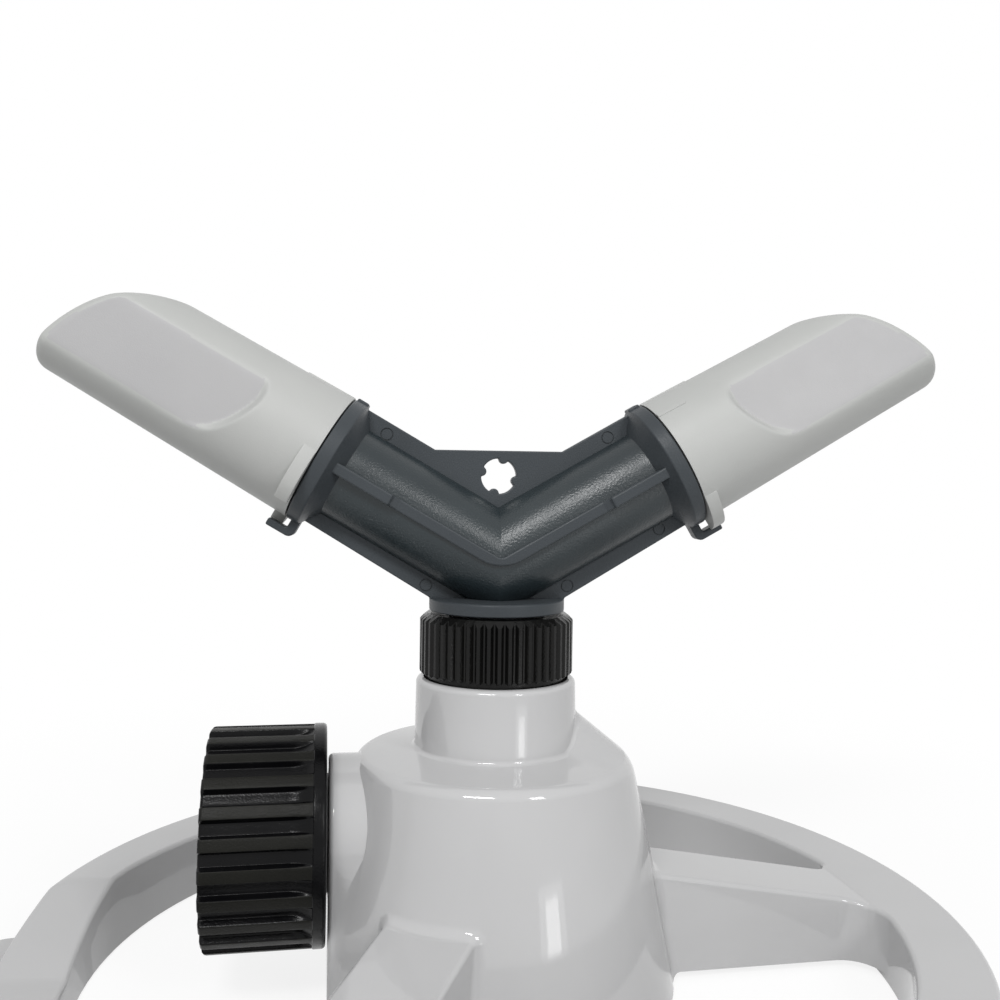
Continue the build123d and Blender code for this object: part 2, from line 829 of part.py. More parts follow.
def cap_ridges():
    """Two short axial ridges at the base: one on the crest, one further round."""
    top = cap_base_r + ridge_proud
    ridges = []
    for angle, length in ((0, crest_ridge_length), (ridge_spread, side_ridge_length)):
        ridge = Pos(top / 2, 0, cap_face_gap + length / 2) * Box(top, ridge_width, length)
        ridges.append(Rot(0, 0, angle) * ridge)
    return ridges


def nozzle_cap(side):
    trim = disc(2 * cap_base_r, -cap_length, cap_face_gap)
    body = snout(0)
    for raised in cap_lugs() + cap_ridges():
        body += raised
    inside = snout(cap_wall)
    inside += disc(socket_r, 0, spigot_length + cap_socket_gap)
    bead_low = spigot_length - spigot_bead_length
    snap_high = bead_low - snap_gap
    inside -= ring(2 * socket_r, socket_r - cap_snap_height, snap_high - cap_snap_width, snap_high)
    body -= inside
    body -= trim
    jet = disc(jet_r, nose_r - 2 * cap_wall, nose_r + cap_wall)
    for i in range(jet_count):
        angle = jet_first_angle + (jet_last_angle - jet_first_angle) * i / (jet_count - 1)
        body -= Pos(-nose_drop, 0, cap_length - nose_r) * Rot(0, 90 - angle, 0) * jet
    return on_arm(side, Pos(0, 0, arm_reach) * body)


nodes = {
    "base_moulding": base_moulding(),
    "hub_cover": hub_cover(),
    "cover_screws": cover_screws(),
    "water_elbow": water_elbow(),
    "inlet_spud": inlet_spud(),
    "spud_seal": spud_seal(),
    "swivel_nut": swivel_nut(),
    "hose_washer": hose_washer(),
    "inlet_filter": inlet_filter(),
    "bearing_collar": bearing_collar(),
    "bearing_bush": bearing_bush(),
    "collar_gasket": collar_gasket(),
    "spindle_seal": spindle_seal(),
    "lower_thrust_washer": lower_thrust_washer(),
    "upper_thrust_washer": upper_thrust_washer(),
    "retaining_clip": Rot(0, 0, rotor_rest_turn) * retaining_clip(),
    "rotor_arm": rotor_arm(),
}
for side in ("left", "right"):
    nodes[f"{side}_nozzle_cap"] = nozzle_cap(side)
    nodes[f"{side}_cap_seal"] = cap_seal(side)

for name, shape in nodes.items():
    solid = Compound(children=shape) if isinstance(shape, list) else shape
    export_step(solid, f"parts/{name}.step")
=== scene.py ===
from math import asin, atan2, cos, degrees, exp, log, pi, radians, sin, sqrt, tan

import bmesh
import bpy
from mathutils import Matrix, Vector


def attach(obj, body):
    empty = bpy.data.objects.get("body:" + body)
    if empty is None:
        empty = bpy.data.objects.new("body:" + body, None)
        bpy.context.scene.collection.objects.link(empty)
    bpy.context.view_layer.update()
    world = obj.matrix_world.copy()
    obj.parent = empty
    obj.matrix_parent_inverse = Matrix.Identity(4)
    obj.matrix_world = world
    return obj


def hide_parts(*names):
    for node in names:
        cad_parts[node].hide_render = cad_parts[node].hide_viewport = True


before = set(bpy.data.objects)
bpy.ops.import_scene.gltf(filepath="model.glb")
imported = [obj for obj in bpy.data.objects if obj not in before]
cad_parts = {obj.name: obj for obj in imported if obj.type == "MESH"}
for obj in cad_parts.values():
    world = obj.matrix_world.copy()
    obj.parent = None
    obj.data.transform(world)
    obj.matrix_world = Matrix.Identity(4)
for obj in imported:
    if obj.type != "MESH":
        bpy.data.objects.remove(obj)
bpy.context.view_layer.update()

# Sizes are in millimetres, as on a drawing; a finished mesh is scaled to metres
MM = 0.001

# How fine round shapes are turned
RING_STEPS = 144
HUB_STEPS = 90
TURN_STEPS = 96
CAP_STEPS = 240
CORNER_STEPS = 8
ROOT_STEPS = 5
ARCH_STEPS = 24
SCOOP_STEPS = 5
BAND_STEPS = 8
RIM_STEPS = 8
RIM_TRIES = 8
NOSE_STEPS = 24
CREST_STEPS = 10
LUG_STEPS = 8
THREAD_STEPS = 48
HOLE_STEPS = 64
NUB_STEPS = 24
PIN_STEPS = 32
JET_STEPS = 16

# How near counts as touching, how far joined shapes reach into one another, and cutters past what they cut
touch = 0.01
overlap = 0.5
cut_spare = 1.0

# What is merged in a plain shape, and what is merged or dropped after shapes are joined or cut
plain_merge = 1e-4
joined_merge = 0.004
joined_sliver = 0.002
flat_limit = radians(0.2)

# Rounding of small edges, and how far a face may lie off a surface and still take its finish
fine_edge_round = 0.2
finish_reach = 0.12

# Ring foot, dip and lip
ring_outer_r = 74.7
ring_inner_r = 63.8
ring_top = 10.7
ring_edge_round = 0.8
moulding_wall = 2.4
foot_spare = 2.0
foot_skim = 0.05
dip_floor = 2.0
dip_middle_y = -1.3
dip_floor_half_width = 3.3
dip_ramp_half_width = 21.7
dip_crease_slant = 0.32
dip_flare = 3.2
dip_sector_x = -50.0
inner_lean = 2.0
inner_lean_start = 12.5
inner_lean_full = 37.0
inner_edge_reach = 0.1
lip_sunk = 0.02
lip_reach = 9.3
lip_half_width = 19.5
lip_corner_r = 6.0
lip_edge_round = 0.6

# Spokes
spoke_angles = (0.0, 120.0, 240.0)
spoke_width = 14.0
spoke_hub_top = 17.0
spoke_kink_r = 61.6
spoke_large_corner_end = radians(12.5)
spoke_small_corner_end = radians(10.0)
spoke_root_round = 1.5
spoke_root_angle = 30.0
spoke_root_reach = 0.25
spoke_root_rise = 2.0
spoke_lift = 1.0
spoke_kink_round = 2.0

# Hub, neck, lift at the back and inlet housing
hub_foot_r = 29.3
shoulder_r = 22.3
shoulder_z = 36.1
shoulder_round = 2.0
shoulder_rise = 1.1
neck_foot_r = 13.0
neck_top_r = 12.87
neck_height = 11.1
neck_foot_round = 0.8
neck_edge_round = 0.9
neck_bore_r = 11.7
back_lift_height = 5.4
back_lift_end_r = 20.8
back_lift_full = 8.0
back_lift_fade = 45.0
back_lift_margin = 0.2
inlet_axis_z = 24.0
housing_half_width = 12.1
housing_face_x = 26.6
housing_edge_round = 0.8
inlet_opening_r = 9.8

# Swivel nut
nut_outer_r = 16.75
nut_root_r = 15.65
nut_length = 17.9
nut_face_gap = 0.25
nut_end_wall = 3.2
nut_thread_r = 12.3
nut_relief_r = 12.7
nut_journal_r = 9.05
nut_rib_count = 24
nut_rib_angle = 6.2
nut_flank_angle = 1.2
nut_rib_edge = ((-0.3, 1.0), (0.0, 0.95), (0.25, 0.78))
nut_foot_edge = ((-0.25, 0.2), (0.0, 0.05), (0.35, 0.0))
nut_band_width = 2.0
nut_band_proud = 0.13
nut_edge_round = 0.6
nut_band_step = 0.15
nut_scoop_lead = 0.1
nut_scoop_length = 3.4
nut_scoop_start = 0.12
nut_mouth_depth = 1.2
nut_mouth_flare = 0.7
nut_thread_start = 8.7
thread_pitch = 1.814
thread_depth = 0.7
thread_crest_half = 0.22
thread_flank_gap = 0.12
thread_root_sunk = 0.4
thread_lead_in = 0.6
thread_run_out = 2.4

# Quarter round of an edge: share along it, and share by which it is sunk there
edge_round_rows = ((0.0, 1.0), (0.13, 0.5), (0.5, 0.13), (1.0, 0.0))
nut_valley_sunk = (0.0, 0.1, 0.3, 0.6)

# Knurled collar
collar_gap = 0.7
knurl_r = 12.35
knurl_depth = 0.6
knurl_count = 48
knurl_height = 8.6
knurl_tip_share = 0.16
knurl_foot_chamfer = 0.35
collar_chamfer = 1.0
collar_skirt_r = 11.3
collar_skirt_depth = 3.4
collar_skirt_round = 0.4
collar_top_ease = 0.15
collar_lip = 2.6
collar_bore_r = 9.6
collar_mouth_r = 8.97

# Rotor arm
rotor_rest_turn = -5.2
rotor_gap = 0.4
rotor_flange_r = 10.9
rotor_flange_thickness = 2.0
rotor_flange_foot_round = 0.25
rotor_flange_top_round = 0.4
spindle_r = 7.7
spindle_bore_r = 5.0
spindle_length = 4.8
arm_rise = 5.75
arm_angle = radians(30.0)
tube_r = 7.7
tube_bore_r = 5.2
tube_facing = 0.2
arm_reach = 32.6
arm_flange_r = 10.9
arm_flange_thickness = 2.4
arm_flare_length = 2.0
arm_flare_sunk = 0.1
arm_flange_ease = 0.4
arm_flange_ease_length = 0.25
arm_flange_rim_round = 0.35
arm_flange_face_round = 0.3
plate_thickness = 2.0
plate_above = 2.7
plate_below = 2.2
web_top_z = 84.7
web_hole_r = 2.85
web_hole_drop = 4.1
web_nub_r = 0.75
web_nub_turn = radians(-15.0)
rib_width = 1.8
rib_proud = 1.7
rib_low_proud = 0.7
rib_step_start = 19.8
rib_ramp_length = 2.6
rib_ramp_drop = 0.5
rib_step_length = 0.2
rib_side_gap = 0.03
rib_end_overlap = 0.3
band_inner_round = 1.2
band_outer_round = 6.0
rim_block_width = 3.2
rim_block_proud = 0.3
rim_block_inset = 0.2
finger_width = 3.0
finger_inner_gap = 0.7
finger_thickness = 1.2
finger_reach = 2.3
finger_web = 1.5
finger_corner_r = 1.1
finger_root_round = 0.4
arm_edge_round = 0.25
pin_mark_r = 1.05
pin_line_width = 0.22
pin_mark_depth = 0.2
pin_mark_places = ((-18.0, 87.0), (-11.5, 63.0), (17.6, 87.1), (26.3, 72.4), (11.3, 63.0))

# Arm end spigots and nozzle caps
spigot_land_r = 8.8
spigot_land_length = 3.0
spigot_r = 8.0
spigot_length = 9.0
spigot_groove_start = 4.0
spigot_groove_width = 2.1
spigot_groove_r = 7.0
cap_face_gap = 0.25
cap_base_r = 10.8
cap_taper = radians(1.3)
cap_length = 44.8
cap_wall = 1.8
cap_socket_r = 8.85
cap_socket_depth = 9.5
cap_plain_rows = (3.0, 6.0)
cap_fine_start = 9.0
cap_fine_step = 0.3
cap_fine_rows = 58
nose_r = 21.4
nose_drop = 9.5
nose_crest_round = 7.0
nose_edge_reach = 1.8
nose_crest_reach = 3.0
nose_crest_lead = radians(6.0)
nose_hollow_ease = 0.02
nose_row_shares = (0.8, 0.6, 0.4, 0.2, 0.05)
flat_distance = 8.9
front_flat_lean = radians(8.3)
back_flat_lean = radians(2.0)
flat_start = 9.9
flat_corner_ease = 0.6
flat_low_reach = 6.4
flat_tongue_top = 5.5
flat_tongue_foot = 2.5
flat_high_angle = radians(55.0)
flat_low_angle = radians(34.0)
flat_soft_edge = 0.2
flat_soft_end = 0.6
flat_facing = 0.97
flat_clear = 2.0
lug_proud = 1.9
lug_width = 2.2
lug_span = radians(46.0)
lug_plateau = 0.3
cap_travel = radians(40.0)
stop_gap_angle = radians(0.8)
ridge_width = 0.9
crest_ridge_length = 8.5
side_ridge_length = 5.0
crest_ridge_proud = 0.15
side_ridge_proud = 0.2
ridge_spread = radians(40.0)
jet_count = 6
jet_r = 0.7
jet_first_angle = 25.0
jet_last_angle = 75.0

# Heights and places that follow from the sizes above
hub_slope = (hub_foot_r - shoulder_r) / shoulder_z
neck_foot_z = shoulder_z + shoulder_rise
neck_top_z = neck_foot_z + neck_height
cavity_top_z = shoulder_z - moulding_wall
spoke_edge_r = hub_foot_r - hub_slope * spoke_hub_top
spoke_fall = (spoke_hub_top - ring_top) / (spoke_kink_r - spoke_edge_r)
knurl_foot_z = neck_top_z + collar_gap
collar_top_z = knurl_foot_z + knurl_height + collar_chamfer
rotor_flange_z = collar_top_z + rotor_gap
rotor_flange_top_z = rotor_flange_z + rotor_flange_thickness
arm_centre_z = rotor_flange_top_z + arm_rise
arm_flange_s = arm_reach - arm_flange_thickness
nut_foot_x = housing_face_x + nut_face_gap
cap_tan = tan(cap_taper)


# Shaping tools


def tidy(bm):
    """Merges doubled points, closes open loops and turns every face outwards."""
    bmesh.ops.remove_doubles(bm, verts=bm.verts[:], dist=plain_merge)
    bmesh.ops.holes_fill(bm, edges=bm.edges[:], sides=0)
    bmesh.ops.recalc_face_normals(bm, faces=bm.faces[:])
    return bm


def round_corner(bm, corner, radius, segments):
    """Rounds one corner of a wire outline to a radius."""
    ways = [edge.other_vert(corner).co - corner.co for edge in corner.link_edges]
    turn = pi - ways[0].angle(ways[1])
    reach = radius * tan(turn / 2)
    bmesh.ops.bevel(
        bm, geom=[corner], offset=reach, offset_type="OFFSET", segments=segments,
        profile=0.5, affect="VERTICES", material=-1,
    )


def outline(points, rounds=None, closed=True, segments=6):
    """Wire outline in the XZ plane; rounds gives the radius of a corner by its number."""
    bm = bmesh.new()
    corners = [bm.verts.new((x, 0, z)) for x, z in points]
    for pair in zip(corners, corners[1:]):
        bm.edges.new(pair)
    if closed:
        bm.edges.new((corners[-1], corners[0]))
    for number, radius in (rounds or {}).items():
        round_corner(bm, corners[number], radius, segments)
    return bm


def turned(points, rounds=None, closed=True, steps=TURN_STEPS, start=0.0, sweep=2 * pi, segments=6):
    """Shape turned about Z from an outline of (radius, height) points."""
    bm = outline(points, rounds, closed, segments)
    bmesh.ops.rotate(bm, verts=bm.verts[:], matrix=Matrix.Rotation(start, 3, "Z"))
    bmesh.ops.spin(
        bm, geom=bm.verts[:] + bm.edges[:], cent=(0, 0, 0), axis=(0, 0, 1), dvec=(0, 0, 0),
        angle=sweep, steps=steps, use_merge=sweep > 2 * pi - 0.001,
    )
    return tidy(bm)


def bar(radius, low, high, steps=TURN_STEPS):
    """Round bar about Z between two heights."""
    return turned([(radius, low), (radius, high)], closed=False, steps=steps)


def pull_faces(bm, way):
    """Carries the flat faces of an outline along a vector into a closed shape."""
    pulled = bmesh.ops.extrude_face_region(bm, geom=bm.faces[:])
    moved = [item for item in pulled["geom"] if isinstance(item, bmesh.types.BMVert)]
    bmesh.ops.translate(bm, verts=moved, vec=way)
    return tidy(bm)


def slab(points, low, high, rounds=None, segments=6):
    """Outline in the XZ plane carried along Y from low to high."""
    bm = outline(points, rounds, True, segments)
    bmesh.ops.remove_doubles(bm, verts=bm.verts[:], dist=plain_merge)
    bmesh.ops.edgeloop_fill(bm, edges=bm.edges[:])
    bmesh.ops.translate(bm, verts=bm.verts[:], vec=(0, low, 0))
    return pull_faces(bm, (0, high - low, 0))


def block(low, high):
    """Box between two corners."""
    bm = bmesh.new()
    bmesh.ops.create_cube(bm, size=1.0)
    size = Vector(high) - Vector(low)
    bmesh.ops.scale(bm, verts=bm.verts[:], vec=size)
    bmesh.ops.translate(bm, verts=bm.verts[:], vec=(Vector(low) + Vector(high)) / 2)
    return bm


def placed(bm, matrix):
    """The same shape, moved by a matrix."""
    bmesh.ops.transform(bm, matrix=matrix, verts=bm.verts[:])
    return bm


def everything(bm):
    return bm.verts[:] + bm.edges[:] + bm.faces[:]


def trimmed(bm, point, outward):
    """Cuts off what lies beyond a plane and closes the cut."""
    bmesh.ops.bisect_plane(bm, geom=everything(bm), plane_co=point, plane_no=outward, clear_outer=True)
    return tidy(bm)


def spun_rows(rows, steps, place):
    """Closed shape of rings: spun about Z as a plain tube, then each point is set in its place."""
    bm = turned([(1, row) for row in range(rows)], closed=False, steps=steps)
    for vert in bm.verts:
        step = round(atan2(vert.co.y, vert.co.x) * steps / (2 * pi)) % steps
        vert.co = place(round(vert.co.z), step)
    return tidy(bm)


def rectangle(inner, outer, low, high):
    """Corners of a rectangle, from the low outer one round to the low inner one."""
    return [(outer, low), (outer, high), (inner, high), (inner, low)]


def clamped(share):
    return min(1, max(0, share))


def eased(share):
    """Share that starts and ends softly."""
    share = clamped(share)
    return share**2 * (3 - 2 * share)


def push_out(vert, distance):
    """Moves a point straight away from the Z axis."""
    reach = 1 + distance / vert.co.to_2d().length
    vert.co.x *= reach
    vert.co.y *= reach


def added(name, data):
    """New scene object for a mesh, a lamp or a camera."""
    item = bpy.data.objects.new(name, data)
    bpy.context.scene.collection.objects.link(item)
    return item


def as_object(bm, name):
    """Turns a worked shape into a scene object."""
    mesh = bpy.data.meshes.new(name)
    bm.to_mesh(mesh)
    bm.free()
    return added(name, mesh)


def combined(body, tools, operation):
    """Joins, cuts or trims a body with other shapes, one after another."""
    for tool in tools:
        stock = as_object(body, "stock")
        cutter = as_object(tool, "tool")
        step = stock.modifiers.new("step", "BOOLEAN")
        step.operation = operation
        step.solver = "EXACT"
        step.object = cutter
        body = bmesh.new()
        body.from_object(stock, bpy.context.evaluated_depsgraph_get())
        for item in (stock, cutter):
            mesh = item.data
            bpy.data.objects.remove(item)
            bpy.data.meshes.remove(mesh)
        bmesh.ops.remove_doubles(body, verts=body.verts[:], dist=joined_merge)
        bmesh.ops.dissolve_degenerate(body, edges=body.edges[:], dist=joined_sliver)
        loose = [edge for edge in body.edges if not edge.link_faces]
        bmesh.ops.delete(body, geom=loose, context="EDGES")
    return body


def soften(bm, edges, width, segments=3):
    """Rounds the chosen edges of a shape."""
    bmesh.ops.bevel(
        bm, geom=list(edges), offset=width, offset_type="OFFSET", segments=segments, profile=0.5,
        affect="EDGES", clamp_overlap=False, material=-1,
    )
    return bm


def sharp_edges(bm, limit=40.0):
    """Edges whose two faces meet at more than a limit in degrees."""
    return [edge for edge in bm.edges if edge.calc_face_angle(0) > radians(limit)]


def edged(bm, width):
    """Takes the sharpness off every edge of a small shape."""
    return soften(bm, sharp_edges(bm), width, 2)


def middle(edge):
    return (edge.verts[0].co + edge.verts[1].co) / 2


def finished(bm, name, body, node, materials, finish_of=None, crease=38.0):
    """Scales a shape to metres, shades it and lets it stand for its node."""
    bmesh.ops.recalc_face_normals(bm, faces=bm.faces[:])
    for face in bm.faces:
        face.smooth = True
        if finish_of:
            face.material_index = finish_of(face)
    for edge in bm.edges:
        edge.smooth = edge.calc_face_angle(0) < radians(crease)
    bmesh.ops.scale(bm, verts=bm.verts[:], vec=(MM, MM, MM))
    piece = as_object(bm, name)
    for finish in materials:
        piece.data.materials.append(finish)
    normals = piece.modifiers.new("even_normals", "WEIGHTED_NORMAL")
    normals.keep_sharp = True
    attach(piece, body)
    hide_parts(node)


def about_z(angle):
    return Matrix.Rotation(angle, 4, "Z")


def on_inlet():
    """Turns Z out along the inlet, towards -X."""
    return Matrix.Translation((0, 0, inlet_axis_z)) @ Matrix.Rotation(-pi / 2, 4, "Y")


def arm_frame(side):
    """Frame of an arm: Z runs out along it, X points up and Y to the front of the right arm."""
    up = Vector((-sin(arm_angle), 0, cos(arm_angle)))
    out = Vector((cos(arm_angle), 0, sin(arm_angle)))
    axes = Matrix((up, out.cross(up), out)).transposed().to_4x4()
    half_turn = about_z(0 if side == "right" else pi)
    return half_turn @ Matrix.Translation((0, 0, arm_centre_z)) @ axes


def on_arm(side):
    """The same frame, turned as the rotor stands at rest."""
    return about_z(radians(rotor_rest_turn)) @ arm_frame(side)


# Base moulding


def spoke(angle):
    """Spoke with its two rounded corners at the ring, and a top that slopes down from the hub."""
    bm = bmesh.new()
    inner_x = hub_foot_r - moulding_wall / 2
    buried_r = ring_inner_r + (ring_outer_r - ring_inner_r) / 3
    chains = []
    for side, corner_end in ((-1, spoke_large_corner_end), (1, spoke_small_corner_end)):
        ring_angle = side * corner_end
        radius = (ring_inner_r * sin(corner_end) - spoke_width / 2) / (1 + sin(corner_end))
        centre_x = (ring_inner_r - radius) * cos(ring_angle)
        centre_y = (ring_inner_r - radius) * sin(ring_angle)
        inner = bm.verts.new((inner_x, side * spoke_width / 2, 0))
        start = bm.verts.new((centre_x, side * spoke_width / 2, 0))
        bm.edges.new((inner, start))
        swing = bmesh.ops.spin(
            bm, geom=[start], cent=(centre_x, centre_y, 0), axis=(0, 0, 1), dvec=(0, 0, 0),
            angle=ring_angle + side * pi / 2, steps=CORNER_STEPS,
        )
        end = next(item for item in swing["geom_last"] if isinstance(item, bmesh.types.BMVert))
        buried = bm.verts.new((buried_r * cos(ring_angle), buried_r * sin(ring_angle), 0))
        bm.edges.new((end, buried))
        chains.append((inner, buried))
    bm.edges.new((chains[0][0], chains[1][0]))
    bm.edges.new((chains[0][1], chains[1][1]))
    bmesh.ops.edgeloop_fill(bm, edges=bm.edges[:])
    pull_faces(bm, (0, 0, ring_top))
    bmesh.ops.bisect_plane(bm, geom=everything(bm), plane_co=(spoke_kink_r, 0, 0), plane_no=(1, 0, 0))
    for vert in bm.verts:
        if vert.co.z > ring_top / 2:
            if vert.co.x < hub_foot_r:
                vert.co.x = inner_x - hub_slope * spoke_hub_top
            vert.co.z = ring_top + max(0, spoke_kink_r - vert.co.x) * spoke_fall
        else:
            vert.co.z = spoke_lift
    kink = [
        edge for edge in bm.edges
        if all(abs(vert.co.x - spoke_kink_r) < touch and vert.co.z > ring_top - touch for vert in edge.verts)
    ]
    soften(bm, kink, spoke_kink_round, ROOT_STEPS)
    return placed(tidy(bm), about_z(radians(angle)))


def dip_share(place):
    """How far up a ramp of the dip a place lies: nought on its floor, one on the plain ring."""
    crease = dip_ramp_half_width + dip_crease_slant * (place.x + ring_inner_r)
    across = abs(place.y - dip_middle_y)
    return clamped((across - dip_floor_half_width) / (crease - dip_floor_half_width))


def lean_inner_edge(foot):
    """Leans the ring's inner wall back near the dip, and lets it stand upright again at the spokes."""
    for vert in foot.verts:
        if vert.co.x < 0 and abs(vert.co.to_2d().length - ring_inner_r) < inner_edge_reach:
            spread = spread_from_spoke(vert.co) - inner_lean_start
            lean = inner_lean * clamped(spread / (inner_lean_full - inner_lean_start))
            if vert.co.z > ring_top - touch:
                push_out(vert, lean)
            elif vert.co.z < 0 < lean:
                vert.co.z = -foot_skim


def sink_dip(foot):
    """Sinks the valley that the hose passes over into the ring, with a ramp on each side."""
    crease_offset = dip_ramp_half_width + dip_crease_slant * ring_inner_r
    lines = ((dip_floor_half_width, 0), (crease_offset, dip_crease_slant))
    for offset, slant in lines:
        for side in (-1, 1):
            near = [face for face in foot.faces if face.calc_center_median().x < dip_sector_x]
            edges = {edge for face in near for edge in face.edges}
            verts = {vert for face in near for vert in face.verts}
            bmesh.ops.bisect_plane(
                foot, geom=near + list(edges) + list(verts),
                plane_co=(0, dip_middle_y + side * offset, 0), plane_no=(-slant, side, 0),
            )
    for vert in foot.verts:
        if vert.co.x < dip_sector_x:
            below = 1 - dip_share(vert.co)
            if vert.co.z > ring_top / 2:
                vert.co.z -= below * (ring_top - dip_floor)
            if vert.co.to_2d().length > (ring_inner_r + ring_outer_r) / 2:
                push_out(vert, below * dip_flare)


def lip():
    """Thin lip at the foot of the dip, under the hose."""
    near = ring_outer_r - moulding_wall
    far = ring_outer_r + lip_reach
    points = rectangle(-far, -near, -lip_half_width, lip_half_width)
    plate = slab(points, -foot_spare, dip_floor - lip_sunk, {2: lip_corner_r, 3: lip_corner_r})
    placed(plate, Matrix.Rotation(pi / 2, 4, "X"))
    rim = [
        edge for edge in sharp_edges(plate)
        if middle(edge).z > dip_floor - 2 * lip_sunk and middle(edge).x < -ring_outer_r
    ]
    return soften(plate, rim, lip_edge_round)


def ring_and_spokes():
    ring = turned(rectangle(ring_inner_r, ring_outer_r, -foot_spare, ring_top), steps=RING_STEPS)
    foot = combined(ring, [spoke(angle) for angle in spoke_angles], "UNION")
    bmesh.ops.dissolve_limit(
        foot, angle_limit=flat_limit,
        verts=[vert for vert in foot.verts if vert.co.x > dip_sector_x],
        edges=[edge for edge in foot.edges if middle(edge).x > dip_sector_x],
    )
    lean_inner_edge(foot)
    rims = [
        edge for edge in sharp_edges(foot)
        if edge.is_convex and middle(edge).z > ring_top - touch and middle(edge).to_2d().length > hub_foot_r
    ]
    soften(foot, rims, ring_edge_round)
    sink_dip(foot)
    return combined(foot, [lip()], "UNION")


def hub():
    """Cone, shoulder and neck, cut flat on the inlet side."""
    points = [
        (hub_foot_r + hub_slope * foot_spare, -foot_spare),
        (shoulder_r, shoulder_z),
        (neck_foot_r, neck_foot_z),
        (neck_top_r, neck_top_z),
        (neck_bore_r, neck_top_z),
    ]
    rounds = {1: shoulder_round, 2: neck_foot_round, 3: neck_edge_round}
    bm = turned(points, rounds, closed=False, steps=HUB_STEPS)
    for vert in bm.verts:
        vert.co.z += back_lift(vert.co)
    bmesh.ops.dissolve_edges(bm, edges=root_seams(bm), use_verts=False)
    return trimmed(bm, (-housing_face_x, 0, 0), (-1, 0, 0))


def back_lift(place):
    """How far the shoulder leans up to the neck at the back, over the back spoke."""
    radius = place.to_2d().length
    shoulder_foot = shoulder_z - shoulder_round - back_lift_margin
    on_shoulder = shoulder_foot < place.z < neck_foot_z + 2 * neck_foot_round
    if not on_shoulder or radius < neck_top_r:
        return 0.0
    spread = abs(degrees(atan2(place.y, place.x)))
    inward = min(1, (back_lift_end_r - radius) / (back_lift_end_r - neck_foot_r))
    return back_lift_height * inward * eased((back_lift_fade - spread) / (back_lift_fade - back_lift_full))


def spread_from_spoke(place):
    """Angle between a place and the middle of the nearest spoke."""
    here = degrees(atan2(place.y, place.x))
    return min(abs((here - angle + 180) % 360 - 180) for angle in spoke_angles)


def root_seams(bm):
    """Lines of the turned cone that would lie across the rounding at the spoke roots."""
    side_angle = degrees(asin(spoke_width / 2 / spoke_edge_r))
    seams = []
    for edge in bm.edges:
        place = middle(edge)
        steep = abs(edge.verts[0].co.z - edge.verts[1].co.z) > shoulder_z / 2
        if steep and abs(spread_from_spoke(place) - side_angle) < 180 / HUB_STEPS:
            seams.append(edge)
    return seams


def inlet_housing():
    """Arch round the inlet, with its face edge rounded."""
    crown = inlet_axis_z + housing_half_width
    half = housing_half_width
    points = [(-half, -foot_spare), (half, -foot_spare), (half, crown), (-half, crown)]
    arch = slab(points, shoulder_r / 2, housing_face_x, {2: half, 3: half}, segments=ARCH_STEPS)
    rim = [
        edge for edge in sharp_edges(arch)
        if middle(edge).y > housing_face_x - touch and middle(edge).z > touch
    ]
    return placed(soften(arch, rim, housing_edge_round), about_z(pi / 2))


def under_cuts():
    """What is hollow in the base: the hub, the neck, the inlet and the channel under ring and spokes."""
    foot_r = hub_foot_r - moulding_wall
    below = -foot_spare - cut_spare
    hollow = turned(
        [(foot_r - hub_slope * below, below), (foot_r - hub_slope * cavity_top_z, cavity_top_z)],
        closed=False,
        steps=HUB_STEPS,
    )
    cuts = [
        trimmed(hollow, (moulding_wall - housing_face_x, 0, 0), (-1, 0, 0)),
        bar(neck_bore_r, cavity_top_z - cut_spare, neck_top_z + cut_spare, HUB_STEPS),
        placed(bar(inlet_opening_r, neck_foot_r, housing_face_x + cut_spare), on_inlet()),
    ]
    outer = ring_outer_r - moulding_wall
    inner = ring_inner_r + moulding_wall
    dip_half = asin((dip_ramp_half_width + moulding_wall) / ring_inner_r)
    channel_top = ring_top - moulding_wall
    cuts.append(
        turned(
            rectangle(inner, outer, below, channel_top), steps=RING_STEPS,
            start=pi + dip_half, sweep=2 * pi - 2 * dip_half,
        )
    )
    half = spoke_width / 2 - moulding_wall
    for angle in spoke_angles:
        points = [
            (hub_foot_r, below),
            (outer - moulding_wall, below),
            (outer - moulding_wall, channel_top),
            (spoke_kink_r, channel_top),
            (hub_foot_r, channel_top + (spoke_kink_r - hub_foot_r) * spoke_fall),
        ]
        cuts.append(placed(slab(points, -half, half), about_z(radians(angle))))
    return cuts


def spoke_roots(bm):
    """Inside edges where the spokes run into the hub."""
    roots = []
    for edge in sharp_edges(bm, spoke_root_angle):
        place = middle(edge)
        cone_r = hub_foot_r - hub_slope * place.z
        on_cone = abs(place.to_2d().length - cone_r) < spoke_root_reach
        beside_spoke = foot_skim - foot_spare < place.z < spoke_hub_top + spoke_root_rise
        if on_cone and beside_spoke and not edge.is_convex:
            roots.append(edge)
    return roots


def base_body():
    bm = combined(hub(), [inlet_housing(), ring_and_spokes()], "UNION")
    soften(bm, spoke_roots(bm), spoke_root_round, ROOT_STEPS)
    far = ring_outer_r + 2 * lip_reach
    spare = block((-far, -far, -2 * foot_spare), (far, far, 0))
    return combined(bm, under_cuts() + [spare], "DIFFERENCE")


# Swivel nut


